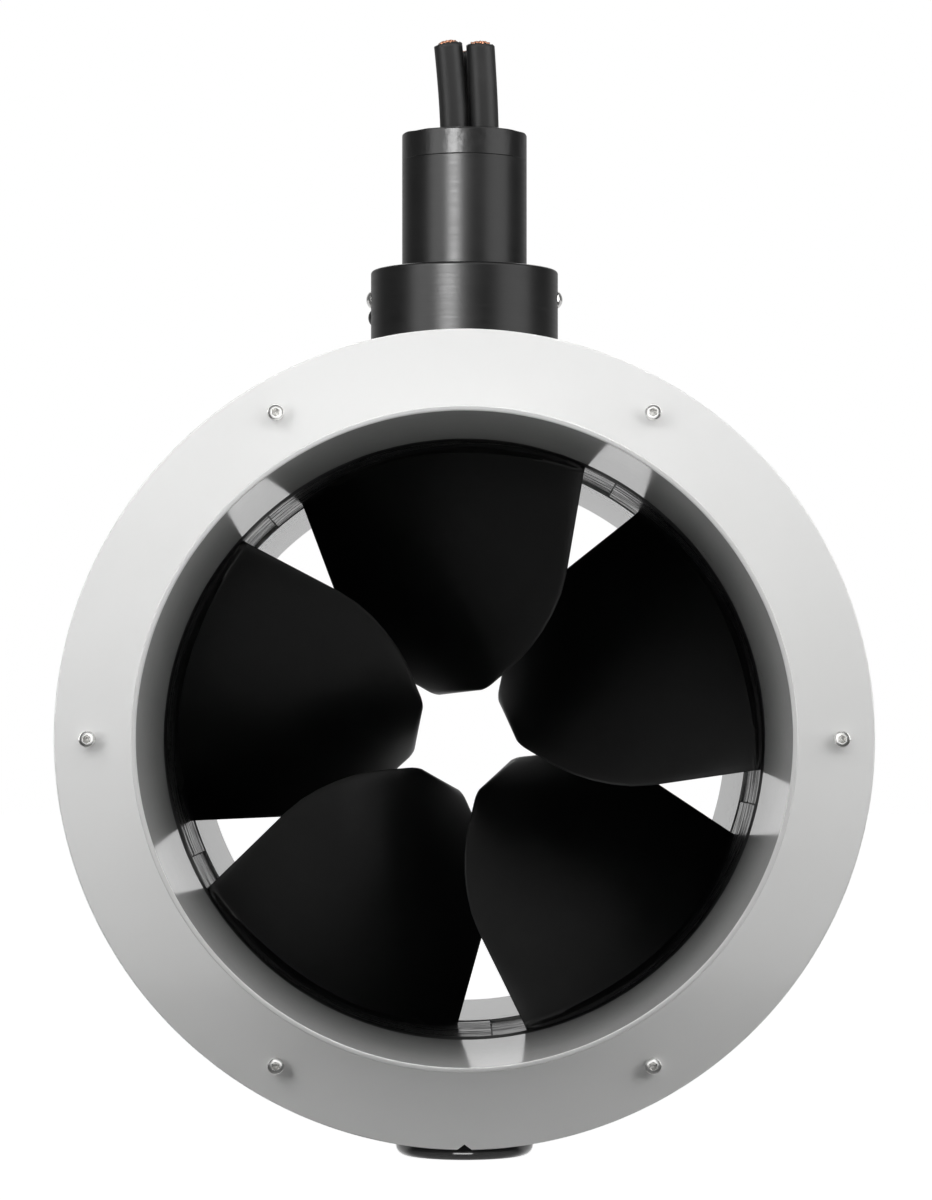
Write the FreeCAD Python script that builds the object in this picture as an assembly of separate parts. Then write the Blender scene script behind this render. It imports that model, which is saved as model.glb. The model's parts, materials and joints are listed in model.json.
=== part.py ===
import FreeCAD, Part
import math
import os

# Bow thruster of the rim-driven kind: a five-bladed hubless rotor inside a ring motor, between two flanged
# tunnel stubs, with a stem on top that brings the three phase cables out.
# Frame in millimetres: the tunnel axis is Y with the front end at -Y, the stem points to +Z, and the origin
# is where the tunnel axis and the stem axis cross. Angles are clockwise from +Z, seen from the front.

# ---- tunnel stubs ----
TUNNEL_BORE = 250.0
TUNNEL_WALL = 2.0
TUNNEL_LENGTH = 400.0
MOTOR_LENGTH = 115.0            # between the back faces of the two flanges
FLANGE_DIAMETER = 340.0
FLANGE_THICKNESS = 8.5
FLANGE_ROOT_FILLET = 5.0
FLANGE_EDGE_CHAMFER = 0.8
LIP_CHAMFER = 0.6
NOTCH_WIDTH = 5.0
NOTCH_DEPTH = 1.8

# ---- flange screws, socket head cap screws ----
FLANGE_SCREWS = 6
FLANGE_SCREW_OFFSET = 0.75      # outwards from midway between bearing seat and flange edge
FIRST_FLANGE_SCREW = 90.0       # degrees; one pair lies level with the tunnel axis
SCREW_DIAMETER = 4.0
SCREW_HOLE_CLEARANCE = 0.25     # on the radius
SCREW_HEAD_DIAMETER = 7.0
SCREW_HEAD_HEIGHT = 4.0
SCREW_SOCKET = 3.0              # across flats
SCREW_SOCKET_DEPTH = 2.0
SCREW_ENGAGEMENT = 9.5

# ---- radial stack of the motor, from the water passage outwards ----
RIM_RELIEF = 0.2                # rotor surfaces lie this far outside the tunnel bore
SEGMENT_STEP = 1.4              # each blade foot thins by this from one end to the other
SEGMENT_THIN_END = 1.4
CARRIER_WALL = 5.0
MAGNET_THICKNESS = 4.0
MAGNET_SLEEVE_WALL = 1.0
WATER_GAP = 1.0
CAN_WALL = 1.0
CORE_DEPTH = 18.0
HOUSING_WALL = 10.0

# ---- bearings and end covers; the can is bonded into the covers ----
BUSH_WALL = 3.0
BUSH_SHOULDER = 0.5
BUSH_LENGTH = 8.0
BUSH_GROOVES = 8
BUSH_GROOVE_RADIUS = 1.2
RUNNING_CLEARANCE = 0.1
THRUST_THICKNESS = 2.7
THRUST_SETBACK = 2.0
THRUST_CLEARANCE = 0.3
COVER_THICKNESS = 12.0
COVER_SPIGOT = 3.0
COVER_SPIGOT_WALL = 6.0
COVER_SCREW_DIAMETER = 4.0
COVER_SCREW_HEAD = 7.5
COVER_SCREW_DEPTH = 20.0

# ---- sealing rings ----
SEAL_SECTION = 2.2              # square-cut rings
SEAL_SIDE_ROOM = 0.2
FLANGE_SEAL_OFFSET = 1.25       # inwards from midway between bearing seat and flange screws

# ---- stator ----
CORE_LENGTH = 60.0
TEETH = 30
TOOTH_WIDTH = 14.0
CORE_YOKE = 4.0
TOOTH_TIP = 2.0
SLOT_MOUTH = 5.0
COIL_SIDE = 6.2
COIL_OVERHANG = 11.0
COIL_CHAMFER = 4.0
COIL_ROOM = 0.8                 # between a coil and the yoke

# ---- rotor ----
MAGNETS = 28
MAGNET_LENGTH = 62.0
MAGNET_SPACING = 1.5
JOURNAL_LENGTH = 13.5
CLAMP_LIP = 3.0
CLAMP_DEPTH = 16.5
REAR_LIP = 3.0
CLAMP_SCREWS = 5
CLAMP_SCREW_DIAMETER = 2.5
CLAMP_SCREW_HEAD = 4.7
CLAMP_SCREW_LENGTH = 10.0
DOWEL_DIAMETER = 4.0
DOWEL_DEPTH = 5.0               # into the blade root, below the tunnel bore
DOWEL_SPREAD = 14.0             # degrees each side of a blade's middle

# ---- blades ----
BLADES = 5
BLADE_MIDDLE = -5.3             # degrees, middle of the first blade
BLADE_AXIAL_MIDDLE = 4.0
BLADE_TIP_RADIUS = 20.2
BLADE_TIP_ROUNDING = 44.8       # radial length over which the tip ellipse closes the blade
BLADE_ROOT_HALF_WIDTH = 65.8    # half width where the blade's middle line meets the bore
BLADE_TAPER = 0.27              # loss of half width per millimetre inwards
BLADE_ROOT_PITCH = 346.0
BLADE_TIP_PITCH = 250.0
BLADE_ROOT_THICKNESS = 9.0
BLADE_TIP_THICKNESS = 3.0
BLADE_EDGE_THICKNESS = 1.4
BLADE_CAMBER = 0.035            # of the section's chord
SEGMENT_JOINT = 0.3
BLADE_POINTS = 5                # points each side of the middle in a row
BLADE_TIP_ROWS = 6
BLADE_BODY_ROWS = 5

# ---- stem ----
BOSS_DIAMETER = 72.0
BOSS_HEIGHT = 6.0               # above the housing's crown
LEAD_BORE = 28.0
COLLAR_DIAMETER = 80.4
COLLAR_HEIGHT = 27.0            # above the boss
COLLAR_FILLET = 1.2
STEM_DIAMETER = 53.6
STEM_WALL = 3.5
STEM_FOOT_STEP = 0.6            # the foot is turned down by this to seat in the collar
STEM_LENGTH = 86.0              # from its foot on the boss
STEM_SLEEVE_HEIGHT = 11.7
STEM_SLEEVE_WALL = 1.0
STEM_SLEEVE_CHAMFER = 0.7
STEM_SEAL_SECTION = 1.8         # square-cut ring
COLLAR_SCREW_HEIGHT = 15.0      # above the boss
COLLAR_SCREW_HEAD = 7.7
COLLAR_SCREW_RISE = 2.2
COLLAR_SCREW_DIAMETER = 4.0
COLLAR_PLUG_HEIGHT = 7.6        # above the boss
COLLAR_PLUG_HEAD = 7.0
COLLAR_PLUG_RISE = 1.6
COLLAR_PLUG_TURN = 175.0        # degrees from +X over the rear

# ---- cables and leads ----
POTTING_DEPTH = 15.0
CABLE_EXIT = 220.0
CABLE_DIAMETER = 12.2
CORE_STUB_DIAMETER = 8.0
CORE_STUB_LENGTH = 2.0
CABLE_ROUTES = [
    [(-4.8, -5.1, CABLE_EXIT), (-4.8, -5.1, 246.0), (-5.6, -5.7, 272.0), (-8.6, -6.5, 297.4)],
    [(7.8, -5.1, CABLE_EXIT), (7.8, -5.1, 246.0), (7.6, -5.7, 272.0), (6.4, -6.6, 297.0)],
    [(1.4, 6.8, CABLE_EXIT), (1.4, 6.8, 245.0), (1.9, 7.6, 270.0), (2.4, 9.2, 295.0)],
]
BEND_SHARE = 0.45               # of the shorter run beside a bend, taken up by its arc
LEAD_WIDTH = 5.0
LEAD_THICKNESS = 3.0
LEAD_SPACING = 7.0
LEAD_CHANNEL_WIDTH = 24.0
LEAD_CHANNEL_DEPTH = 6.0
LEAD_SETBACK = 5.0              # from the ends of the coils

# ---- bottom port ----
PORT_DIAMETER = 40.0
PORT_CAP_DIAMETER = 59.0
PORT_CAP_HEIGHT = 10.5          # below the housing's lowest line
PORT_CAP_FILLET = 4.5
PORT_SPIGOT = 8.0

# ---- modelling allowances ----
PAST = 1.0                      # how far a cutting tool runs past the face it opens
TINY = 0.01                     # two places closer than this are the same
SEAT_FLAT = 0.2                 # depth of the flat under a domed head
SEAT_ROOM = 0.3                 # flat around a domed head

# ---- worked out from the sizes above ----
V = FreeCAD.Vector
ORIGIN = V(0, 0, 0)
ALONG = V(0, 1, 0)
UP = V(0, 0, 1)
FRONT = -1
REAR = 1

BORE_R = TUNNEL_BORE / 2
SPIGOT_R = BORE_R + TUNNEL_WALL
FLANGE_R = FLANGE_DIAMETER / 2
RIM_R = BORE_R + RIM_RELIEF
CARRIER_BORE_R = RIM_R + SEGMENT_STEP + SEGMENT_THIN_END
CARRIER_R = CARRIER_BORE_R + CARRIER_WALL
MAGNET_R = CARRIER_R + MAGNET_THICKNESS
SLEEVE_R = MAGNET_R + MAGNET_SLEEVE_WALL
CAN_BORE_R = SLEEVE_R + WATER_GAP
CAN_R = CAN_BORE_R + CAN_WALL
CORE_R = CAN_R + CORE_DEPTH
HOUSING_R = CORE_R + HOUSING_WALL
BUSH_R = CAN_R + BUSH_SHOULDER
BUSH_BORE_R = BUSH_R - BUSH_WALL
JOURNAL_R = BUSH_BORE_R - RUNNING_CLEARANCE
FLANGE_SCREW_R = (BUSH_R + FLANGE_R) / 2 + FLANGE_SCREW_OFFSET
FLANGE_SEAL_R = (BUSH_R + FLANGE_SCREW_R) / 2 - FLANGE_SEAL_OFFSET
FIRST_COVER_SCREW = FIRST_FLANGE_SCREW + 180.0 / FLANGE_SCREWS

TUNNEL_END = TUNNEL_LENGTH / 2
FLANGE_BACK = MOTOR_LENGTH / 2
FLANGE_FACE = FLANGE_BACK + FLANGE_THICKNESS
ROTOR_END = FLANGE_BACK - THRUST_THICKNESS - THRUST_CLEARANCE
BUSH_INNER_END = FLANGE_BACK - BUSH_LENGTH
HOUSING_END = FLANGE_BACK - COVER_THICKNESS
COIL_END = CORE_LENGTH / 2 + COIL_OVERHANG
CARRIER_FRONT = -(ROTOR_END - CLAMP_LIP)
SEGMENT_FRONT = -(ROTOR_END - CLAMP_DEPTH)
SEGMENT_REAR = ROTOR_END - REAR_LIP
CLAMP_SCREW_R = CARRIER_BORE_R + CARRIER_WALL / 2
COVER_SCREW_R = CORE_R + HOUSING_WALL / 2

BOSS_TOP = HOUSING_R + BOSS_HEIGHT
COLLAR_TOP = BOSS_TOP + COLLAR_HEIGHT
STEM_TOP = BOSS_TOP + STEM_LENGTH
COLLAR_R = COLLAR_DIAMETER / 2
STEM_R = STEM_DIAMETER / 2
STEM_BORE_R = STEM_R - STEM_WALL
STEM_FOOT_R = STEM_R - STEM_FOOT_STEP
POTTING_BOTTOM = CABLE_EXIT - POTTING_DEPTH
COIL_INNER_R = CAN_R + TOOTH_TIP
COIL_OUTER_R = CORE_R - CORE_YOKE
LEAD_CHANNEL_TOP = CORE_R + LEAD_CHANNEL_DEPTH


def cylinder(radius, start, end):
    """Solid cylinder on the tunnel axis, from one axial place to another."""
    return Part.makeCylinder(radius, end - start, V(0, start, 0), ALONG)


def ring(inner, outer, start, end):
    """Plain ring on the tunnel axis."""
    return cylinder(outer, start, end).cut(cylinder(inner, start - PAST, end + PAST))


def upright(radius, bottom, top):
    """Solid cylinder on the stem's axis, from one height to another."""
    return Part.makeCylinder(radius, top - bottom, V(0, 0, bottom), UP)


def pipe(inner, outer, bottom, top):
    """Plain pipe on the stem's axis."""
    return upright(outer, bottom, top).cut(upright(inner, bottom - PAST, top + PAST))


def turned(profile):
    """Solid turned about the tunnel axis from a profile of (radius, axial place) points."""
    corners = [V(0, along, radius) for radius, along in profile]
    face = Part.Face(Part.makePolygon(corners + corners[:1]))
    return face.revolve(ORIGIN, ALONG, 360)


def at_angle(shape, degrees):
    """Copy of a shape turned clockwise about the tunnel axis, seen from the front."""
    copy = shape.copy()
    copy.rotate(ORIGIN, ALONG, degrees)
    return copy


def around(shape, count, first=0.0):
    """Copies of a shape spaced evenly about the tunnel axis."""
    return [at_angle(shape, first + 360.0 * index / count) for index in range(count)]


def on_side(shape, side):
    """A front piece as it is, or its mirror image at the rear."""
    return shape if side == FRONT else shape.mirror(ORIGIN, ALONG)


def edges_at(shape, test):
    """Edges of a shape whose box centre passes a test."""
    return [edge for edge in shape.Edges if test(edge.BoundBox)]


def bent_tube(points, radius):
    """Tube along straight runs joined by tangent arcs, with its centre line's length and arc radii."""
    places = [V(*point) for point in points]
    edges = []
    radii = []
    start = places[0]
    for before, corner, after in zip(places, places[1:], places[2:]):
        arriving = corner - before
        leaving = after - corner
        setback = BEND_SHARE * min(arriving.Length, leaving.Length)
        half_turn = arriving.getAngle(leaving) / 2
        arc_radius = setback / math.tan(half_turn)
        arriving.normalize()
        leaving.normalize()
        inward = leaving - arriving
        inward.normalize()
        entry = corner - arriving * setback
        exit_ = corner + leaving * setback
        middle = corner + inward * (arc_radius / math.cos(half_turn) - arc_radius)
        edges.append(Part.LineSegment(start, entry).toShape())
        edges.append(Part.Arc(entry, middle, exit_).toShape())
        radii.append(arc_radius)
        start = exit_
    edges.append(Part.LineSegment(start, places[-1]).toShape())
    path = Part.Wire(edges)
    first_run = places[1] - places[0]
    section = Part.Wire(Part.makeCircle(radius, places[0], first_run))
    tube = path.makePipeShell([section], True, False)
    return tube, path.Length, radii


# ---- tunnel stubs and their screws ----

def tunnel_stub(side):
    """Round tunnel tube and its flange, moulded as one piece."""
    stub = turned([
        (BORE_R, -TUNNEL_END), (SPIGOT_R - LIP_CHAMFER, -TUNNEL_END), (SPIGOT_R, -TUNNEL_END + LIP_CHAMFER),
        (SPIGOT_R, -FLANGE_FACE), (FLANGE_R - FLANGE_EDGE_CHAMFER, -FLANGE_FACE),
        (FLANGE_R, -FLANGE_FACE + FLANGE_EDGE_CHAMFER), (FLANGE_R, -FLANGE_BACK), (BORE_R, -FLANGE_BACK),
    ])
    root = edges_at(stub, lambda box: box.YLength < TINY and abs(box.YMin + FLANGE_FACE) < TINY
                    and abs(box.ZMax - SPIGOT_R) < TINY)
    stub = stub.makeFillet(FLANGE_ROOT_FILLET, root)
    through = FLANGE_THICKNESS + 2 * PAST
    hole = Part.makeCylinder(SCREW_DIAMETER / 2 + SCREW_HOLE_CLEARANCE, through,
                             V(0, -FLANGE_FACE - PAST, FLANGE_SCREW_R), ALONG)
    notch_corners = [V(-NOTCH_WIDTH, -FLANGE_FACE - PAST, -FLANGE_R - NOTCH_DEPTH),
                     V(NOTCH_WIDTH, -FLANGE_FACE - PAST, -FLANGE_R - NOTCH_DEPTH),
                     V(0, -FLANGE_FACE - PAST, -FLANGE_R + NOTCH_DEPTH)]
    notch = Part.Face(Part.makePolygon(notch_corners + notch_corners[:1])).extrude(ALONG * through)
    return on_side(stub.cut(around(hole, FLANGE_SCREWS, FIRST_FLANGE_SCREW) + [notch]), side)


def hexagon(across_flats, depth, base):
    """Hexagonal prism along the tunnel axis."""
    corner_r = across_flats / math.sqrt(3)
    corners = []
    for index in range(6):
        angle = math.radians(60 * index)
        corners.append(base + V(corner_r * math.sin(angle), 0, corner_r * math.cos(angle)))
    return Part.Face(Part.makePolygon(corners + corners[:1])).extrude(ALONG * depth)


def flange_screws(side):
    """Socket head cap screws through the flange into the end cover."""
    head_face = -FLANGE_FACE - SCREW_HEAD_HEIGHT
    on_circle = V(0, 0, FLANGE_SCREW_R)
    head = Part.makeCylinder(SCREW_HEAD_DIAMETER / 2, SCREW_HEAD_HEIGHT,
                             on_circle + V(0, head_face, 0), ALONG)
    shank = Part.makeCylinder(SCREW_DIAMETER / 2, FLANGE_THICKNESS + SCREW_ENGAGEMENT,
                              on_circle + V(0, -FLANGE_FACE, 0), ALONG)
    socket = hexagon(SCREW_SOCKET, SCREW_SOCKET_DEPTH, on_circle + V(0, head_face, 0))
    screw = head.fuse(shank).cut(socket)
    return on_side(Part.makeCompound(around(screw, FLANGE_SCREWS, FIRST_FLANGE_SCREW)), side)


# ---- end covers, seals and bearings ----

def cover_screw():
    """Countersunk screw that holds an end cover on the housing, at the top of its circle."""
    head_r = COVER_SCREW_HEAD / 2
    shank_r = COVER_SCREW_DIAMETER / 2
    top = V(0, -FLANGE_BACK, COVER_SCREW_R)
    cone = Part.makeCone(head_r, shank_r, head_r - shank_r, top, ALONG)
    shank = Part.makeCylinder(shank_r, COVER_SCREW_DEPTH, top, ALONG)
    return cone.fuse(shank)


def cover_screws(side):
    """The cover screws, midway between the flange screws."""
    return on_side(Part.makeCompound(around(cover_screw(), FLANGE_SCREWS, FIRST_COVER_SCREW)), side)


def end_cover(side):
    """Cover that closes one end of the stator, centres the can and holds the bearing bush."""
    cover = turned([
        (BUSH_R, -FLANGE_BACK), (HOUSING_R, -FLANGE_BACK), (HOUSING_R, -HOUSING_END),
        (CORE_R, -HOUSING_END), (CORE_R, -HOUSING_END + COVER_SPIGOT),
        (CORE_R - COVER_SPIGOT_WALL, -HOUSING_END + COVER_SPIGOT),
        (CORE_R - COVER_SPIGOT_WALL, -HOUSING_END), (CAN_R, -HOUSING_END),
        (CAN_R, -BUSH_INNER_END), (BUSH_R, -BUSH_INNER_END),
    ])
    half_groove = SEAL_SECTION / 2 + SEAL_SIDE_ROOM
    flange_groove = ring(FLANGE_SEAL_R - half_groove, FLANGE_SEAL_R + half_groove,
                         -FLANGE_BACK - PAST, -FLANGE_BACK + SEAL_SECTION)
    screw_hole = Part.makeCylinder(SCREW_DIAMETER / 2, SCREW_ENGAGEMENT + PAST,
                                   V(0, -FLANGE_BACK - PAST, FLANGE_SCREW_R), ALONG)
    cuts = [flange_groove] + around(screw_hole, FLANGE_SCREWS, FIRST_FLANGE_SCREW)
    cuts += around(cover_screw(), FLANGE_SCREWS, FIRST_COVER_SCREW)
    return on_side(cover.cut(cuts), side)


def flange_seal(side):
    """Sealing ring in the cover's face groove, against the flange."""
    half = SEAL_SECTION / 2
    seal = ring(FLANGE_SEAL_R - half, FLANGE_SEAL_R + half, -FLANGE_BACK, -FLANGE_BACK + SEAL_SECTION)
    return on_side(seal, side)


def bearing_bush(side):
    """Water-lubricated bush with axial grooves in its bore."""
    bush = ring(BUSH_BORE_R, BUSH_R, -FLANGE_BACK, -BUSH_INNER_END)
    groove = Part.makeCylinder(BUSH_GROOVE_RADIUS, BUSH_LENGTH + 2 * PAST,
                               V(0, -FLANGE_BACK - PAST, BUSH_BORE_R), ALONG)
    return on_side(bush.cut(around(groove, BUSH_GROOVES, 180.0 / BUSH_GROOVES)), side)


def thrust_ring(side):
    """Flat ring on the back of the flange that takes the rotor's thrust."""
    face = -FLANGE_BACK + THRUST_THICKNESS
    return on_side(ring(BORE_R + THRUST_SETBACK, BUSH_BORE_R, -FLANGE_BACK, face), side)


# ---- housing ----

def lead_channel():
    """Space above the stator core through which the leads reach the stem."""
    half = LEAD_CHANNEL_WIDTH / 2
    height = LEAD_CHANNEL_TOP - CORE_R / 2
    return Part.makeBox(LEAD_CHANNEL_WIDTH, COIL_END, height, V(-half, 0, CORE_R / 2))


def motor_housing():
    """Ring housing with the stem boss on top and the port below."""
    shell = cylinder(HOUSING_R, -HOUSING_END, HOUSING_END)
    boss = upright(BOSS_DIAMETER / 2, CORE_R, BOSS_TOP)
    body = shell.fuse(boss).cut(cylinder(CORE_R, -HOUSING_END - PAST, HOUSING_END + PAST))
    seal_r = stem_seal_radius()
    half_groove = STEM_SEAL_SECTION / 2 + SEAL_SIDE_ROOM
    seal_groove = pipe(seal_r - half_groove, seal_r + half_groove,
                       BOSS_TOP - STEM_SEAL_SECTION, BOSS_TOP + PAST)
    lead_bore = upright(LEAD_BORE / 2, CORE_R / 2, BOSS_TOP + PAST)
    port = upright(PORT_DIAMETER / 2, -HOUSING_R - PAST, -CORE_R / 2)
    screws = around(cover_screw(), FLANGE_SCREWS, FIRST_COVER_SCREW)
    screws += [on_side(screw, REAR) for screw in screws]
    return body.cut([seal_groove, lead_bore, lead_channel(), port] + screws)


# ---- stator ----

def stator_core():
    """Laminated core: a yoke with straight teeth that widen at their tips."""
    half = CORE_LENGTH / 2
    core = ring(CAN_R, CORE_R, -half, half)
    pitch = 360.0 / TEETH
    tip_r = CAN_R + TOOTH_TIP
    slot_corners = []
    for radius, side in ((tip_r, -1), (COIL_OUTER_R, -1), (COIL_OUTER_R, 1), (tip_r, 1)):
        reach = math.sin(math.radians(pitch / 2)) * radius
        drop = math.cos(math.radians(pitch / 2)) * radius
        slant = math.radians(pitch / 2)
        x = side * (reach - TOOTH_WIDTH / 2 / math.cos(slant))
        slot_corners.append(V(x, -half - PAST, drop))
    through = CORE_LENGTH + 2 * PAST
    slot = Part.Face(Part.makePolygon(slot_corners + slot_corners[:1])).extrude(ALONG * through)
    mouth = Part.makeBox(SLOT_MOUTH, through, CORE_DEPTH / 2,
                         V(-SLOT_MOUTH / 2, -half - PAST, CAN_R - CORE_DEPTH / 4))
    return core.cut(around(slot.fuse(mouth), TEETH, pitch / 2))


def stator_coils():
    """One wound coil around each tooth."""
    outer_half = TOOTH_WIDTH / 2 + COIL_SIDE
    outline = []
    for x_side, y_side, x_first in ((1, 1, False), (-1, 1, True), (-1, -1, False), (1, -1, True)):
        on_x = V(x_side * (outer_half - COIL_CHAMFER), y_side * COIL_END, COIL_INNER_R)
        on_y = V(x_side * outer_half, y_side * (COIL_END - COIL_CHAMFER), COIL_INNER_R)
        outline += [on_x, on_y] if x_first else [on_y, on_x]
    height = coil_height()
    coil = Part.Face(Part.makePolygon(outline + outline[:1])).extrude(UP * height)
    window = Part.makeBox(TOOTH_WIDTH, CORE_LENGTH, height + 2 * PAST,
                          V(-TOOTH_WIDTH / 2, -CORE_LENGTH / 2, COIL_INNER_R - PAST))
    return Part.makeCompound(around(coil.cut(window), TEETH))


def coil_height():
    """Radial height of a coil, short of the yoke where the slot's corners come down."""
    corner = math.radians(180.0 / TEETH)
    return COIL_OUTER_R * math.cos(corner) - COIL_INNER_R - COIL_ROOM


def stator_can():
    """Thin sleeve that keeps the water out of the stator."""
    return ring(CAN_BORE_R, CAN_R, -BUSH_INNER_END, BUSH_INNER_END)


# ---- rotor ring ----

def rotor_carrier():
    """Steel ring that carries magnets outside and blade feet inside, with a stop lip at the rear."""
    carrier = turned([
        (CARRIER_BORE_R, CARRIER_FRONT), (CARRIER_R, CARRIER_FRONT), (CARRIER_R, ROTOR_END),
        (RIM_R + SEGMENT_STEP, ROTOR_END), (RIM_R + SEGMENT_STEP, SEGMENT_REAR),
        (CARRIER_BORE_R, SEGMENT_REAR),
    ])
    return carrier.cut(around(clamp_screw(), CLAMP_SCREWS) + blade_dowel_list())


def rotor_magnets():
    """Magnet segments around the carrier."""
    half = MAGNET_LENGTH / 2
    width_angle = 360.0 / MAGNETS - math.degrees(MAGNET_SPACING / CARRIER_R)
    corners = [V(0, -half, CARRIER_R), V(0, -half, MAGNET_R), V(0, half, MAGNET_R), V(0, half, CARRIER_R)]
    magnet = Part.Face(Part.makePolygon(corners + corners[:1])).revolve(ORIGIN, ALONG, width_angle)
    return Part.makeCompound(around(magnet, MAGNETS))


def magnet_sleeve():
    """Band that holds the magnets on and seals them."""
    return ring(MAGNET_R, SLEEVE_R, -MAGNET_LENGTH / 2, MAGNET_LENGTH / 2)


def journal_sleeve(side):
    """Hard ring on the carrier, and at the front also on the clamp ring's lip, that runs in the bush."""
    return on_side(ring(CARRIER_R, JOURNAL_R, -ROTOR_END, -ROTOR_END + JOURNAL_LENGTH), side)


def clamp_screw():
    """Countersunk screw through the clamp ring's lip into the carrier."""
    head_r = CLAMP_SCREW_HEAD / 2
    shank_r = CLAMP_SCREW_DIAMETER / 2
    top = V(0, -ROTOR_END, CLAMP_SCREW_R)
    cone = Part.makeCone(head_r, shank_r, head_r - shank_r, top, ALONG)
    return cone.fuse(Part.makeCylinder(shank_r, CLAMP_SCREW_LENGTH, top, ALONG))


def clamp_ring_screws():
    """The clamp ring's screws."""
    return Part.makeCompound(around(clamp_screw(), CLAMP_SCREWS))


def front_clamp_ring():
    """Ring that holds the blade feet against the carrier's rear lip."""
    clamp = turned([
        (RIM_R, -ROTOR_END), (CARRIER_R, -ROTOR_END), (CARRIER_R, CARRIER_FRONT),
        (CARRIER_BORE_R, CARRIER_FRONT), (CARRIER_BORE_R, SEGMENT_FRONT), (RIM_R, SEGMENT_FRONT),
    ])
    return clamp.cut(around(clamp_screw(), CLAMP_SCREWS))


# ---- blades ----

def blade_pitch(radius):
    """Advance per turn of the blade's mean surface at a radius."""
    share = (radius - BLADE_TIP_RADIUS) / (BORE_R - BLADE_TIP_RADIUS)
    return BLADE_TIP_PITCH + (BLADE_ROOT_PITCH - BLADE_TIP_PITCH) * share


def blade_mean(across, height):
    """Axial place of the mean surface, a helicoid that comes forward on the clockwise side."""
    turn = math.atan2(across, height) / (2 * math.pi)
    return BLADE_AXIAL_MIDDLE - blade_pitch(math.hypot(across, height)) * turn


def blade_half_width(height):
    """Half width: straight tapered sides, closed at the tip by a quarter ellipse."""
    straight = BLADE_ROOT_HALF_WIDTH - BLADE_TAPER * (BORE_R - height)
    below_full = max(0.0, BLADE_TIP_RADIUS + BLADE_TIP_ROUNDING - height) / BLADE_TIP_ROUNDING
    return straight * math.sqrt(1 - below_full ** 2)


def blade_row(height, face):
    """Points across one face of the blade at a height: face -1 is the front one, 1 the rear one."""
    half_width = blade_half_width(height)
    share = (height - BLADE_TIP_RADIUS) / (BORE_R - BLADE_TIP_RADIUS)
    thickness = BLADE_TIP_THICKNESS + (BLADE_ROOT_THICKNESS - BLADE_TIP_THICKNESS) * share
    points = []
    for index in range(-BLADE_POINTS, BLADE_POINTS + 1):
        fraction = index / BLADE_POINTS
        across = half_width * fraction
        slope = (blade_mean(across + TINY, height) - blade_mean(across - TINY, height)) / (2 * TINY)
        length = math.hypot(1, slope)
        fullness = 1 - fraction ** 2
        arch = BLADE_CAMBER * 2 * half_width * length * fullness
        half_thickness = (BLADE_EDGE_THICKNESS + (thickness - BLADE_EDGE_THICKNESS) * fullness) / 2
        offset = face * half_thickness - arch
        along = blade_mean(across, height) + offset / length
        points.append(V(across - slope / length * offset, along, height))
    return points


def blade_heights():
    """Heights of the rows: by equal turns round the tip ellipse, then evenly to the carrier's outside."""
    full = BLADE_TIP_RADIUS + BLADE_TIP_ROUNDING
    turns = [90.0 * (index + 0.5) / BLADE_TIP_ROWS for index in range(BLADE_TIP_ROWS)]
    tip = [full - BLADE_TIP_ROUNDING * math.cos(math.radians(turn)) for turn in turns]
    return tip + [full + (CARRIER_R - full) * index / BLADE_BODY_ROWS for index in range(BLADE_BODY_ROWS + 1)]


def blade_vane():
    """The blade without its foot: two smooth faces through the rows, a narrow edge and flat ends."""
    faces = []
    sides = []
    for face in (-1, 1):
        surface = Part.BSplineSurface()
        surface.interpolate([blade_row(height, face) for height in blade_heights()])
        first_row, last_row, first_point, last_point = surface.bounds()
        faces.append(surface.toShape())
        sides.append([surface.uIso(first_row).toShape(), surface.uIso(last_row).toShape(),
                      surface.vIso(first_point).toShape(), surface.vIso(last_point).toShape()])
    for front_edge, rear_edge in zip(*sides):
        faces.append(Part.makeRuledSurface(front_edge, rear_edge))
    shell = Part.Shell(faces)
    shell.sewShape()
    vane = Part.Solid(shell)
    if vane.Volume < 0:
        vane.reverse()
    return vane


def blade_foot():
    """Ring segment that the blade stands on, thinning from its anticlockwise to its clockwise end."""
    pitch = 360.0 / BLADES
    joint = math.degrees(SEGMENT_JOINT / CARRIER_BORE_R)
    inner = RIM_R - SEGMENT_STEP
    corners = [V(0, SEGMENT_FRONT, inner), V(0, SEGMENT_FRONT, CARRIER_BORE_R),
               V(0, SEGMENT_REAR, CARRIER_BORE_R), V(0, SEGMENT_REAR, inner)]
    sector = Part.Face(Part.makePolygon(corners + corners[:1])).revolve(ORIGIN, ALONG, pitch - joint)
    sector = at_angle(sector, -(pitch - joint) / 2)
    shift = SEGMENT_STEP / 2 / math.sin(math.radians(pitch / 2))
    water_side = Part.makeCylinder(RIM_R + SEGMENT_STEP / 2, SEGMENT_REAR - SEGMENT_FRONT + 2 * PAST,
                                   V(shift, SEGMENT_FRONT - PAST, 0), ALONG)
    return sector.cut(water_side)


def blade_dowel(offset):
    """Radial dowel through the carrier into a blade's root, some degrees from the blade's middle."""
    across = math.tan(math.radians(offset)) * BORE_R * math.cos(math.radians(offset))
    height = BORE_R * math.cos(math.radians(offset))
    place = blade_mean(across, height)
    dowel = Part.makeCylinder(DOWEL_DIAMETER / 2, CARRIER_R - BORE_R + DOWEL_DEPTH + PAST,
                              V(0, place, BORE_R - DOWEL_DEPTH), UP)
    return at_angle(dowel, offset).common(cylinder(CARRIER_R, -ROTOR_END, ROTOR_END))


def blade_dowel_list():
    """All dowels, two for each blade."""
    dowels = []
    for offset in (-DOWEL_SPREAD, DOWEL_SPREAD):
        dowels += around(blade_dowel(offset), BLADES, BLADE_MIDDLE)
    return dowels


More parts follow.
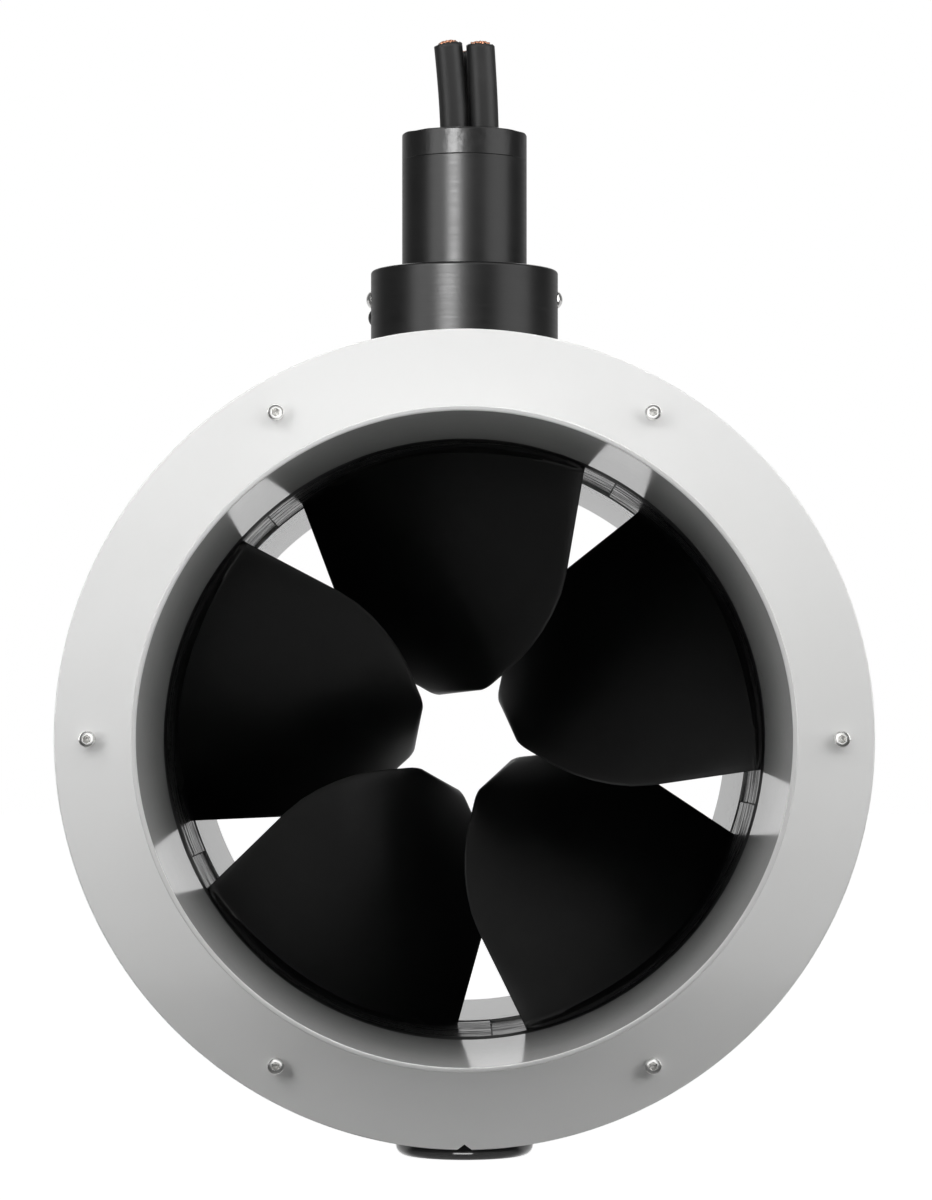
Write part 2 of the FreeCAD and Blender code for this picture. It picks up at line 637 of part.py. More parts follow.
def blade_dowels():
    """The dowels as one group."""
    return Part.makeCompound(blade_dowel_list())


def blade(index):
    """One blade with its foot, moulded as one piece."""
    vane = blade_vane().common(cylinder(CARRIER_BORE_R - SEGMENT_THIN_END / 2, SEGMENT_FRONT, SEGMENT_REAR))
    piece = vane.fuse(blade_foot())
    piece = piece.cut([blade_dowel(-DOWEL_SPREAD), blade_dowel(DOWEL_SPREAD)])
    return at_angle(piece, BLADE_MIDDLE + 360.0 * index / BLADES)


# ---- stem ----

def stem_seal_radius():
    """Radius of the stem's sealing ring, under the middle of the tube's wall."""
    return (STEM_FOOT_R + STEM_BORE_R) / 2


def stem_seal():
    """Sealing ring between the stem tube's foot and the boss."""
    half = STEM_SEAL_SECTION / 2
    return pipe(stem_seal_radius() - half, stem_seal_radius() + half, BOSS_TOP - STEM_SEAL_SECTION, BOSS_TOP)


def dome_head(diameter, rise, seat):
    """Low dome on the plane x = seat, rising along +X from it."""
    sphere_r = (diameter ** 2 / 4 + rise ** 2) / (2 * rise)
    ball = Part.makeSphere(sphere_r, V(seat + rise - sphere_r, 0, 0))
    keep = Part.makeCylinder(diameter / 2 + PAST, rise + PAST, V(seat, 0, 0), V(1, 0, 0))
    return ball.common(keep)


def radial_fastener(diameter, rise, shank_r, depth, height, turn):
    """Domed fastener in the collar's side: head outside, shank pointing at the stem axis."""
    seat = COLLAR_R - SEAT_FLAT
    shank = Part.makeCylinder(shank_r, depth + SEAT_FLAT, V(seat - depth, 0, 0), V(1, 0, 0))
    piece = dome_head(diameter, rise, seat).fuse(shank)
    piece.translate(V(0, 0, height))
    piece.rotate(ORIGIN, UP, turn)
    return piece


def head_seat(diameter, height, turn):
    """Shallow flat on the collar's side under a domed head."""
    seat = Part.makeCylinder(diameter / 2 + SEAT_ROOM, COLLAR_R,
                             V(COLLAR_R - SEAT_FLAT, 0, height), V(1, 0, 0))
    seat.rotate(ORIGIN, UP, turn)
    return seat


def collar_screws():
    """Domed screws, one each side, that lock the stem tube in the collar."""
    depth = COLLAR_R - STEM_R + STEM_WALL / 2
    return Part.makeCompound([
        radial_fastener(COLLAR_SCREW_HEAD, COLLAR_SCREW_RISE, COLLAR_SCREW_DIAMETER / 2, depth,
                        BOSS_TOP + COLLAR_SCREW_HEIGHT, turn) for turn in (0, 180)])


def collar_plug():
    """Domed plug below the left screw, a little to the rear."""
    depth = (COLLAR_R - STEM_R) / 2
    return radial_fastener(COLLAR_PLUG_HEAD, COLLAR_PLUG_RISE, COLLAR_SCREW_DIAMETER / 2, depth,
                           BOSS_TOP + COLLAR_PLUG_HEIGHT, COLLAR_PLUG_TURN)


def stem_collar():
    """Collar over the boss, saddled on the housing, that grips the stem tube."""
    collar = upright(COLLAR_R, CORE_R, COLLAR_TOP)
    top_edge = edges_at(collar, lambda box: box.ZLength < TINY and abs(box.ZMax - COLLAR_TOP) < TINY)
    collar = collar.makeFillet(COLLAR_FILLET, top_edge)
    cuts = [cylinder(HOUSING_R, -COLLAR_DIAMETER, COLLAR_DIAMETER),
            upright(BOSS_DIAMETER / 2, CORE_R, BOSS_TOP),
            upright(STEM_FOOT_R, CORE_R, COLLAR_TOP + PAST)]
    cuts += [head_seat(COLLAR_SCREW_HEAD, BOSS_TOP + COLLAR_SCREW_HEIGHT, turn) for turn in (0, 180)]
    cuts += [head_seat(COLLAR_PLUG_HEAD, BOSS_TOP + COLLAR_PLUG_HEIGHT, COLLAR_PLUG_TURN)]
    return collar.cut(cuts + list(collar_screws().Solids) + [collar_plug()])


def stem_tube():
    """Tube that carries the cables up, reduced where the collar and the end sleeve go round it."""
    tube = pipe(STEM_BORE_R, STEM_R, BOSS_TOP, STEM_TOP)
    foot = pipe(STEM_FOOT_R, STEM_R + PAST, BOSS_TOP - PAST, COLLAR_TOP)
    top = pipe(STEM_R - STEM_SLEEVE_WALL, STEM_R + PAST, STEM_TOP - STEM_SLEEVE_HEIGHT, STEM_TOP + PAST)
    return tube.cut([foot, top] + list(collar_screws().Solids))


def stem_end_sleeve():
    """Glossy sleeve around the stem tube's top."""
    sleeve_foot = STEM_TOP - STEM_SLEEVE_HEIGHT
    sleeve = upright(STEM_R, sleeve_foot, STEM_TOP)
    top_edge = edges_at(sleeve, lambda box: box.ZLength < TINY and abs(box.ZMax - STEM_TOP) < TINY)
    sleeve = sleeve.makeChamfer(STEM_SLEEVE_CHAMFER, top_edge)
    return sleeve.cut(upright(STEM_R - STEM_SLEEVE_WALL, sleeve_foot - PAST, STEM_TOP + PAST))


def stem_potting():
    """Resin plug in the stem tube that the leads enter below and the cables leave above."""
    return upright(STEM_BORE_R, POTTING_BOTTOM, CABLE_EXIT)


# ---- cables and leads ----

def phase_cable(index):
    """One phase cable from the potting to its cut end."""
    tube, length, radii = bent_tube(CABLE_ROUTES[index], CABLE_DIAMETER / 2)
    section = math.pi * CABLE_DIAMETER ** 2 / 4
    rounded = ", ".join(f"{radius:.0f}" for radius in radii)
    print(f"phase_cable_{index + 1}: length {length:.1f} mm, arc radii {rounded} mm, "
          f"volume {tube.Volume / (section * length):.4f} of section times length")
    return tube


def cable_core(index):
    """Bare copper end of one cable."""
    before, end = (V(*point) for point in CABLE_ROUTES[index][-2:])
    return Part.makeCylinder(CORE_STUB_DIAMETER / 2, CORE_STUB_LENGTH, end, end - before)


def phase_leads():
    """Insulated flat leads from the coils, along the channel and up the stem to the potting."""
    coil_top = COIL_INNER_R + coil_height()
    far_end = COIL_END - LEAD_SETBACK
    near_end = -LEAD_THICKNESS / 2
    channel_middle = CORE_R + LEAD_CHANNEL_DEPTH / 2
    lead_bottom = channel_middle - LEAD_THICKNESS / 2
    leads = []
    for place in (-1, 0, 1):
        left = place * LEAD_SPACING - LEAD_WIDTH / 2
        foot = Part.makeBox(LEAD_WIDTH, LEAD_THICKNESS, lead_bottom - coil_top,
                            V(left, far_end - LEAD_THICKNESS, coil_top))
        run = Part.makeBox(LEAD_WIDTH, far_end - near_end, LEAD_THICKNESS, V(left, near_end, lead_bottom))
        riser = Part.makeBox(LEAD_WIDTH, LEAD_THICKNESS, POTTING_BOTTOM - lead_bottom,
                             V(left, near_end, lead_bottom))
        leads.append(foot.fuse([run, riser]).removeSplitter())
    return Part.makeCompound(leads)


# ---- bottom port ----

def bottom_cap():
    """Round cap that closes the lower port, saddled on the housing."""
    bottom = -HOUSING_R - PORT_CAP_HEIGHT
    cap = upright(PORT_CAP_DIAMETER / 2, bottom, -CORE_R)
    edge = edges_at(cap, lambda box: box.ZLength < TINY and abs(box.ZMin - bottom) < TINY)
    cap = cap.makeFillet(PORT_CAP_FILLET, edge)
    cap = cap.cut(cylinder(HOUSING_R, -PORT_CAP_DIAMETER, PORT_CAP_DIAMETER))
    spigot = upright(PORT_DIAMETER / 2, -HOUSING_R, -HOUSING_R + PORT_SPIGOT)
    half_groove = SEAL_SECTION / 2 + SEAL_SIDE_ROOM
    groove = pipe(PORT_DIAMETER / 2 - SEAL_SECTION, PORT_DIAMETER / 2 + PAST,
                  port_seal_place() - half_groove, port_seal_place() + half_groove)
    return cap.fuse(spigot).cut(groove)


def port_seal_place():
    """Height of the port's sealing ring, midway along the spigot."""
    return -HOUSING_R + PORT_SPIGOT / 2


def bottom_cap_seal():
    """Sealing ring on the cap's spigot."""
    half = SEAL_SECTION / 2
    return pipe(PORT_DIAMETER / 2 - SEAL_SECTION, PORT_DIAMETER / 2,
                port_seal_place() - half, port_seal_place() + half)


def all_pieces():
    """Every node's name with its shape."""
    pieces = {}
    for word, side in (("front", FRONT), ("rear", REAR)):
        pieces[f"{word}_tunnel_stub"] = tunnel_stub(side)
        pieces[f"{word}_flange_screws"] = flange_screws(side)
        pieces[f"{word}_flange_seal"] = flange_seal(side)
        pieces[f"{word}_end_cover"] = end_cover(side)
        pieces[f"{word}_cover_screws"] = cover_screws(side)
        pieces[f"{word}_bearing_bush"] = bearing_bush(side)
        pieces[f"{word}_thrust_ring"] = thrust_ring(side)
        pieces[f"{word}_journal_sleeve"] = journal_sleeve(side)
    pieces["motor_housing"] = motor_housing()
    pieces["stator_core"] = stator_core()
    pieces["stator_coils"] = stator_coils()
    pieces["stator_can"] = stator_can()
    pieces["rotor_carrier"] = rotor_carrier()
    pieces["rotor_magnets"] = rotor_magnets()
    pieces["magnet_sleeve"] = magnet_sleeve()
    pieces["front_clamp_ring"] = front_clamp_ring()
    pieces["clamp_ring_screws"] = clamp_ring_screws()
    pieces["blade_dowels"] = blade_dowels()
    for index in range(BLADES):
        pieces[f"blade_{index + 1}"] = blade(index)
    pieces["stem_collar"] = stem_collar()
    pieces["collar_screws"] = collar_screws()
    pieces["collar_plug"] = collar_plug()
    pieces["stem_seal"] = stem_seal()
    pieces["stem_tube"] = stem_tube()
    pieces["stem_end_sleeve"] = stem_end_sleeve()
    pieces["stem_potting"] = stem_potting()
    pieces["phase_leads"] = phase_leads()
    for index in range(len(CABLE_ROUTES)):
        pieces[f"phase_cable_{index + 1}"] = phase_cable(index)
        pieces[f"cable_core_{index + 1}"] = cable_core(index)
    pieces["bottom_cap"] = bottom_cap()
    pieces["bottom_cap_seal"] = bottom_cap_seal()
    return pieces


os.makedirs("parts", exist_ok=True)
for name, shape in all_pieces().items():
    shape.exportStep(os.path.join("parts", f"{name}.step"))
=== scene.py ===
"""Looks of a rim-driven bow thruster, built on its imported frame.

Every piece is made in metres in the frame's own axes: the tunnel runs along Y with its front end at -Y, the
stem points to +Z, and the origin is where the two axes cross. Angles about the tunnel are clockwise from +Z,
seen from the front.
"""

import json
import logging
import math
from collections.abc import Callable
from dataclasses import dataclass
from enum import Enum

import bmesh
import bpy
import numpy as np
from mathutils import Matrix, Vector

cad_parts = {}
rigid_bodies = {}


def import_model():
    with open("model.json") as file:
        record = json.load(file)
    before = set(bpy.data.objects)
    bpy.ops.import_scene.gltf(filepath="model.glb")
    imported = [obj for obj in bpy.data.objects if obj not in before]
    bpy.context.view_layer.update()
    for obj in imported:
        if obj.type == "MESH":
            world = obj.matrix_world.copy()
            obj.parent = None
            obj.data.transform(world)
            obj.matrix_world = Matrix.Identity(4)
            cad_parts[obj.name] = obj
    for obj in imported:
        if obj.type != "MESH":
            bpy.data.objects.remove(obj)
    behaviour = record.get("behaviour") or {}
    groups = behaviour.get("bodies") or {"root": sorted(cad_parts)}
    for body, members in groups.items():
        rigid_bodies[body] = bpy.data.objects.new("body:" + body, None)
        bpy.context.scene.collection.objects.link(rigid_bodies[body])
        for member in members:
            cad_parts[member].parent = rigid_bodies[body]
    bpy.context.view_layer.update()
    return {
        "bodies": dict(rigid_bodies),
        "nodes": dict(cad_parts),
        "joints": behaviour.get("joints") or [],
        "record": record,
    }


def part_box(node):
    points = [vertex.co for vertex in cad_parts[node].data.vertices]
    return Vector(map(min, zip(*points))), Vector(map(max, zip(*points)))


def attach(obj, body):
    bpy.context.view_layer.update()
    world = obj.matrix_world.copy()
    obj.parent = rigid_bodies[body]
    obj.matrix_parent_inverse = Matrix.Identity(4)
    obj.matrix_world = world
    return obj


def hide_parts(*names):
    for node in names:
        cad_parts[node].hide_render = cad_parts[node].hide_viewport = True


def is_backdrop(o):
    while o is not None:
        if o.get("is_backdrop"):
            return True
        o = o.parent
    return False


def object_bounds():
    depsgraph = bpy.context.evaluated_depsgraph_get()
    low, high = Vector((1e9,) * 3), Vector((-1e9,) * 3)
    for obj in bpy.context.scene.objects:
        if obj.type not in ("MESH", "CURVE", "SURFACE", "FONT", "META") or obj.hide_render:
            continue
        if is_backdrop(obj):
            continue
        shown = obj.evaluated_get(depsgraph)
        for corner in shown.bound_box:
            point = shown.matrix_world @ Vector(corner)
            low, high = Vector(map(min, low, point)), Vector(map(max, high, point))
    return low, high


LOG = logging.getLogger("bow_thruster")
MM = 0.001
FIXED_BODY = "thruster_body"
ROTOR_BODY = "rotor"
ENDS = {"front": -1.0, "rear": 1.0}
LOW, HIGH = 0, 1
X, Y, Z = 0, 1, 2


# ---------------------------------------------------------------- shader maths

def math_operator(operation: str, swapped: bool = False) -> Callable:
    """Makes one of Python's operators add a Math node.

    Args:
        operation: the node's operation.
        swapped: whether the other value comes first.

    Returns:
        The method.
    """
    def method(self: "Value", other: "Value | float") -> "Value":
        """The Math node's result."""
        pair = (other, self) if swapped else (self, other)
        return self.graph.node("ShaderNodeMath", {"operation": operation}, pair)
    return method


class Value:
    """A shader socket that carries a number, with Python's operators on it."""

    def __init__(self, graph: "Graph", socket: bpy.types.NodeSocket) -> None:
        """Wraps one output socket of a graph."""
        self.graph = graph
        self.socket = socket

    __add__ = __radd__ = math_operator("ADD")
    __mul__ = __rmul__ = math_operator("MULTIPLY")
    __sub__ = math_operator("SUBTRACT")
    __rsub__ = math_operator("SUBTRACT", swapped=True)

    def between(self, low: float, high: float) -> "Value":
        """The value mapped smoothly from low..high to 0..1, and held there outside."""
        return self.graph.node("ShaderNodeMapRange", {"interpolation_type": "SMOOTHSTEP"},
                               {"Value": self, "From Min": low, "From Max": high})

    def about(self, middle: float, spread: float) -> "Value":
        """A value in 0..1 laid evenly about a middle, over a spread."""
        return self * spread + (middle - spread / 2)


class Graph:
    """The node tree of one material, or of the world."""

    def __init__(self, owner: "bpy.types.Material | bpy.types.World", shader: str = "Principled BSDF") -> None:
        """Turns the nodes on.

        Args:
            owner: the material or the world.
            shader: name of the node that set() feeds.
        """
        owner.use_nodes = True
        self.owner = owner
        self.tree = owner.node_tree
        self.shader = self.tree.nodes[shader]

    def node(self, kind: str, settings: dict, inputs: "dict | tuple" = (), output: "int | str" = 0) -> Value:
        """Adds one node.

        Args:
            kind: the node's type name.
            settings: attributes to set before its sockets are filled.
            inputs: values or links, by socket name or in socket order.
            output: which output to return.

        Returns:
            The chosen output.
        """
        new = self.tree.nodes.new(kind)
        for key, value in settings.items():
            setattr(new, key, value)
        for key, value in inputs.items() if isinstance(inputs, dict) else enumerate(inputs):
            self.feed(new.inputs[key], value)
        return Value(self, new.outputs[output])

    def feed(self, socket: bpy.types.NodeSocket, value: "Value | float | tuple") -> None:
        """Links or sets one input socket.

        Args:
            socket: the input.
            value: what it gets.
        """
        if isinstance(value, Value):
            self.tree.links.new(value.socket, socket)
        else:
            socket.default_value = value

    def set(self, **sockets: "Value | float | tuple") -> None:
        """Feeds sockets of the shader; an underscore stands for a space in a name."""
        for name, value in sockets.items():
            self.feed(self.shader.inputs[name.replace("_", " ")], value)

    def place(self, kind: str = "Object") -> Value:
        """Coordinates of the point that is shaded."""
        return self.node("ShaderNodeTexCoord", {}, (), kind)

    def depth(self, kind: str = "Object") -> Value:
        """How far back the point that is shaded lies: its Y coordinate."""
        return self.node("ShaderNodeSeparateXYZ", {}, (self.place(kind),), "Y")

    def ray(self, kind: str) -> Value:
        """1 for rays of this kind, such as Camera, and 0 for others."""
        return self.node("ShaderNodeLightPath", {}, (), f"Is {kind} Ray")

    def noise(self, scale: "float | tuple", detail: float = 3.0, roughness: float = 0.5) -> Value:
        """Noise on object coordinates.

        Args:
            scale: features per metre, or one number for each axis.
            detail: number of finer layers.
            roughness: share of the finer layers.

        Returns:
            The noise, in 0..1.
        """
        where = self.place()
        if isinstance(scale, tuple):
            where, scale = self.node("ShaderNodeMapping", {}, {"Vector": where, "Scale": scale}), 1.0
        return self.node("ShaderNodeTexNoise", {}, {"Vector": where, "Scale": scale, "Detail": detail,
                                                    "Roughness": roughness}, "Fac")

    def wave(self, length: float, settings: dict, distortion: float) -> Value:
        """Wave on object coordinates, of a length in metres."""
        return self.node("ShaderNodeTexWave", settings, {"Vector": self.place(), "Scale": 0.5 / length / math.pi,
                                                         "Distortion": distortion}, "Fac")

    def blend(self, share: "Value | float", *colours: "Value | float | tuple") -> Value:
        """Colour that goes from the first of two to the second as share goes from 0 to 1."""
        first, second = (colour if isinstance(colour, Value) else rgba(colour) for colour in colours)
        return self.node("ShaderNodeMix", {"data_type": "RGBA"}, {0: share, 6: first, 7: second}, 2)

    def bump(self, height: Value, distance: float, strength: float) -> None:
        """Feeds the surface's normal from a height in 0..1 that stands for a distance in metres."""
        self.set(Normal=self.node("ShaderNodeBump", {}, {"Height": height, "Distance": distance,
                                                         "Strength": strength}, "Normal"))


def rgba(level: "float | tuple") -> tuple:
    """Colour with alpha from one grey level or three."""
    return (*(level if isinstance(level, tuple) else (level,) * 3), 1.0)


def scaled(colour: tuple, factor: float) -> tuple:
    """Colour with each of its parts times a factor."""
    return tuple(factor * part for part in colour)


# ---------------------------------------------------------------- finishes

@dataclass(frozen=True)
class Coating:
    """A finish; each kind draws its own nodes."""

    name: str

    def build(self) -> bpy.types.Material:
        """Makes the material."""
        graph = Graph(bpy.data.materials.new(self.name))
        self.draw(graph)
        return graph.owner

    def draw(self, graph: Graph) -> None:
        """Feeds the surface of a material's graph; each kind has its own way."""
        raise NotImplementedError


@dataclass(frozen=True)
class Gelcoat(Coating):
    """Glossy white moulding with a faint flow pattern and a slow ripple."""

    name: str = "white gelcoat"
    base: tuple = (0.815, 0.815, 0.81)
    shade: tuple = (0.785, 0.785, 0.778)
    roughness: float = 0.09
    spread: float = 0.06
    coat: float = 0.25
    coat_roughness: float = 0.03
    ripple: float = 0.00006

    def draw(self, graph: Graph) -> None:
        """Feeds the surface.

        Args:
            graph: the material's nodes.
        """
        flow = graph.noise(9.0, 4.0).between(0.35, 0.7)
        graph.set(Base_Color=graph.blend(flow, self.base, self.shade),
                  Roughness=graph.noise(420.0, 2.0).about(self.roughness, self.spread),
                  Coat_Weight=self.coat, Coat_Roughness=self.coat_roughness)
        graph.bump(graph.noise(60.0, 2.0), self.ripple, 0.35)


@dataclass(frozen=True)
class PaintedHousing(Coating):
    """White paint on a machined ring: satin, with an orange-peel texture."""

    name: str = "white paint"
    base: tuple = (0.775, 0.775, 0.77)
    shade: float = 0.95
    roughness: float = 0.33
    spread: float = 0.12
    peel: float = 0.00012

    def draw(self, graph: Graph) -> None:
        """Feeds the surface.

        Args:
            graph: the material's nodes.
        """
        cloud = graph.noise(14.0)
        graph.set(Base_Color=graph.blend(cloud.between(0.3, 0.75), self.base, scaled(self.base, self.shade)),
                  Roughness=cloud.about(self.roughness, self.spread))
        graph.bump(graph.noise(650.0, 2.0), self.peel, 0.5)


@dataclass(frozen=True)
class MouldedPlastic(Coating):
    """Black moulded plastic: a fine grain, uneven sheen and slow flow marks."""

    base: float = 0.010
    pale: float = 0.018
    roughness: float = 0.38
    spread: float = 0.16
    grain: float = 0.00006
    grain_scale: float = 900.0
    specular: float = 0.35
    coat: float = 0.0
    wear: float = 0.4

    def draw(self, graph: Graph) -> None:
        """Feeds the surface.

        Args:
            graph: the material's nodes.
        """
        flow = graph.noise(16.0, 5.0, 0.62)
        grain = graph.noise(self.grain_scale, 3.0, 0.6)
        worn = graph.noise(55.0, 4.0).between(0.52, 0.8) * self.wear
        colour = graph.blend(flow.between(0.3, 0.75), self.base, self.pale)
        graph.set(Base_Color=graph.blend(worn, colour, 1.6 * self.pale),
                  Roughness=flow.about(0.0, self.spread) + grain.about(self.roughness, 0.08),
                  Coat_Weight=self.coat, Coat_Roughness=0.06, Specular_IOR_Level=self.specular)
        graph.bump(grain + flow * 0.6, self.grain, 0.6)


@dataclass(frozen=True)
class TurnedPlastic(Coating):
    """Black plastic turned or drawn on the stem's axis, with fine rings and scuffs."""

    base: float = 0.005
    pale: float = 0.010
    roughness: float = 0.34
    specular: float = 0.3
    line_scale: tuple = (60.0, 60.0, 900.0)
    scuff_scale: tuple = (35.0, 35.0, 260.0)
    wear: float = 0.5
    depth: float = 0.00005

    def draw(self, graph: Graph) -> None:
        """Feeds the surface.

        Args:
            graph: the material's nodes.
        """
        lines = graph.noise(self.line_scale, 3.0, 0.65)
        cloud = graph.noise(22.0, 4.0)
        scuff = graph.noise(self.scuff_scale, 5.0, 0.7).between(0.58, 0.8) * self.wear
        colour = graph.blend(cloud.between(0.3, 0.7), self.base, self.pale)
        graph.set(Base_Color=graph.blend(scuff, colour, 1.7 * self.pale), Specular_IOR_Level=self.specular,
                  Roughness=lines.about(self.roughness, 0.16) + cloud.about(0.0, 0.06))
        graph.bump(lines, self.depth, 0.6)


@dataclass(frozen=True)
class PaintedReflectionPlastic(Coating):
    """Black plastic ring segment whose pale grey is a painted reflection, the sheen of glossy black plastic at a
    grazing angle, with dull dark streaks round the tunnel axis.
    """

    base: float = 0.010
    # pale is a painted reflection: the grey that glossy black plastic shows at a grazing angle.
    pale: float = 0.060
    roughness: float = 0.18
    dullness: float = 0.45
    streak_scale: tuple = (30.0, 300.0, 30.0)
    depth: float = 0.0001

    def draw(self, graph: Graph) -> None:
        """Feeds the surface.

        Args:
            graph: the material's nodes.
        """
        streaks = graph.noise(self.streak_scale, 4.0, 0.7)
        dull = streaks.between(0.47, 0.56)
        # Painted reflection: the pale grey sheen, varied by a slow noise; the dull streaks keep the plastic's own
        # black.
        colour = graph.blend(graph.noise(70.0).between(0.3, 0.7), self.pale, 0.6 * self.pale)
        graph.set(Base_Color=graph.blend(dull, colour, self.base), Roughness=dull * self.dullness + self.roughness)
        graph.bump(streaks, self.depth, 0.5)


@dataclass(frozen=True)
class Metal(Coating):
    """Bare metal with streaks along chosen axes."""

    base: tuple
    roughness: float = 0.28
    streak_scale: tuple = (700.0, 60.0, 700.0)
    depth: float = 0.00002
    tarnish: float = 0.25
    spread: float = 0.18

    def draw(self, graph: Graph) -> None:
        """Feeds the surface.

        Args:
            graph: the material's nodes.
        """
        streaks = graph.noise(self.streak_scale, 3.0, 0.6)
        cloud = graph.noise(120.0, 4.0).between(0.35, 0.75)
        graph.set(Base_Color=graph.blend(cloud, self.base, scaled(self.base, 1.0 - self.tarnish)), Metallic=1.0,
                  Roughness=streaks.about(self.roughness, self.spread))
        graph.bump(streaks, self.depth, 0.5)


@dataclass(frozen=True)
class Rubber(Coating):
    """Matt or satin rubber with a fine grain and dust in places."""

    base: float = 0.022
    dust: float = 0.05
    roughness: float = 0.5
    specular: float = 0.45
    grain_scale: float = 1400.0
    crease: float = 0.0
    crease_scale: tuple = (120.0, 120.0, 420.0)
    depth: float = 0.0001

    def draw(self, graph: Graph) -> None:
        """Feeds the surface.

        Args:
            graph: the material's nodes.
        """
        grain = graph.noise(self.grain_scale)
        patches = graph.noise(90.0, 4.0)
        graph.set(Base_Color=graph.blend(patches.between(0.5, 0.85), self.base, self.dust),
                  Roughness=grain.about(self.roughness, 0.12) + patches.about(0.0, 0.1),
                  Specular_IOR_Level=self.specular)
        graph.bump(grain * 0.35 + graph.noise(self.crease_scale, 3.0, 0.6) * self.crease, self.depth, 0.6)


@dataclass(frozen=True)
class Winding(Coating):
    """Enamelled copper wire wound round a tooth, turn beside turn, with painted shade in the grooves between turns.
    """

    name: str = "coil winding"
    wire: float = 0.0012
    base: tuple = (0.45, 0.16, 0.06)
    depth: float = 0.0002

    def draw(self, graph: Graph) -> None:
        """Feeds the surface.

        Args:
            graph: the material's nodes.
        """
        wires_and_groove_shade = graph.wave(self.wire, {"wave_type": "RINGS", "rings_direction": "Y"}, 0.3)
        # The copper is darkened to half in the grooves between turns: painted shade.
        graph.set(Base_Color=graph.blend(wires_and_groove_shade, scaled(self.base, 0.5), self.base), Metallic=0.8,
                  Roughness=wires_and_groove_shade * 0.1 + 0.3)
        graph.bump(wires_and_groove_shade, self.depth, 0.7)


@dataclass(frozen=True)
class Laminations(Coating):
    """Stacked core sheets, seen as fine lines across the tunnel axis."""

    name: str = "core laminations"
    sheet: float = 0.001
    gap: float = 0.12
    face: float = 0.28
    depth: float = 0.0001

    def draw(self, graph: Graph) -> None:
        """Feeds the surface.

        Args:
            graph: the material's nodes.
        """
        sheets = graph.wave(self.sheet, {"bands_direction": "Y"}, 0.0)
        graph.set(Base_Color=graph.blend(sheets, self.gap, self.face), Metallic=0.9,
                  Roughness=graph.noise(200.0) * 0.2 + 0.35)
        graph.bump(sheets, self.depth, 0.5)


class Finish(Enum):
    """Every finish on the object, by the record's material slot."""

    WHITE_MOULDING = Gelcoat()
    WHITE_HOUSING = PaintedHousing()
    STAINLESS = Metal("stainless steel", (0.90, 0.895, 0.88), 0.20, tarnish=0.06)
    SEAL_RUBBER = Rubber("seal rubber", 0.015, 0.03, 0.6)
    BEARING_POLYMER = MouldedPlastic("bearing polymer", 0.03, 0.045, 0.5)
    JOURNAL_STEEL = Metal("journal steel", (0.6, 0.6, 0.6), 0.12, (60.0, 900.0, 60.0))
    CORE_STEEL = Laminations()
    COIL_COPPER = Winding()
    CAN_COMPOSITE = MouldedPlastic("can composite", 0.05, 0.07, 0.3)
    CARRIER_STEEL = Metal("carrier steel", (0.10, 0.10, 0.10), 0.5, (60.0, 700.0, 60.0))
    MAGNET = Metal("plated magnet", (0.45, 0.45, 0.46), 0.25)
    BAND_COMPOSITE = MouldedPlastic("band composite", 0.02, 0.035, 0.25, coat=0.4)
    CLAMP_BLACK = MouldedPlastic("clamp ring plastic", 0.006, 0.010, 0.62, specular=0.15)
    BLADE_BLACK = MouldedPlastic("blade plastic", 0.006, 0.011, 0.34, specular=0.45)
    # The feet are the blades' black plastic; their pale grey is a painted reflection.
    FOOT_BLACK = PaintedReflectionPlastic("blade foot plastic")
    STEM_BLACK = TurnedPlastic("stem plastic")
    PLUG_BLACK = MouldedPlastic("plug plastic", 0.012, 0.02, 0.3)
    SLEEVE_BLACK = MouldedPlastic("glossy sleeve", 0.004, 0.010, 0.33, grain=0.0005, grain_scale=90.0)
    CAP_BLACK = MouldedPlastic("glossy cap", 0.008, 0.012, 0.14, spread=0.08, grain=0.00003, grain_scale=500.0,
                               specular=0.5, coat=0.5)
    POTTING = MouldedPlastic("potting resin", 0.008, 0.012, 0.15, coat=0.5)
    LEAD_INSULATION = Rubber("lead insulation", 0.03, 0.04, 0.5)
    CABLE_RUBBER = Rubber("cable jacket", 0.009, 0.020, 0.50, grain_scale=1200.0, crease=0.8)
    BARE_COPPER = Metal("bare copper", (0.86, 0.42, 0.26), 0.25, (900.0, 900.0, 90.0), depth=0.00003, tarnish=0.35)

    @property
    def slot(self) -> str:
        """Name of the record's material slot; a blade and its foot share one."""
        return "blade_black" if self is Finish.FOOT_BLACK else self.name.lower()


class Paintbox:
    """Builds each finish once and puts it on pieces and frame nodes."""

    def __init__(self) -> None:
        """Makes every material."""
        self.materials = {finish: finish.value.build() for finish in Finish}

    def paint(self, piece: bpy.types.Object, finish: Finish) -> None:
        """Gives a new piece its finish.

        Args:
            piece: the new object.
            finish: its finish.
        """
        piece.data.materials.clear()
        piece.data.materials.append(self.materials[finish])

    def paint_frame(self, frame: dict) -> None:
        """Gives every frame node the finish of its slot in the record.
        """
        slots = {part["node"]: part["material_slot"] for part in frame["record"]["subparts"]}
        for name, node in frame["nodes"].items():
            for holder in node.material_slots:
                holder.link = "OBJECT"
                holder.material = self.materials[Finish[slots[name].upper()]]


# ---------------------------------------------------------------- surfaces

def placed(name: str, data: bpy.types.ID) -> bpy.types.Object:
    """New object that shows this data, in the scene."""
    new = bpy.data.objects.new(name, data)
    bpy.context.scene.collection.objects.link(new)
    return new


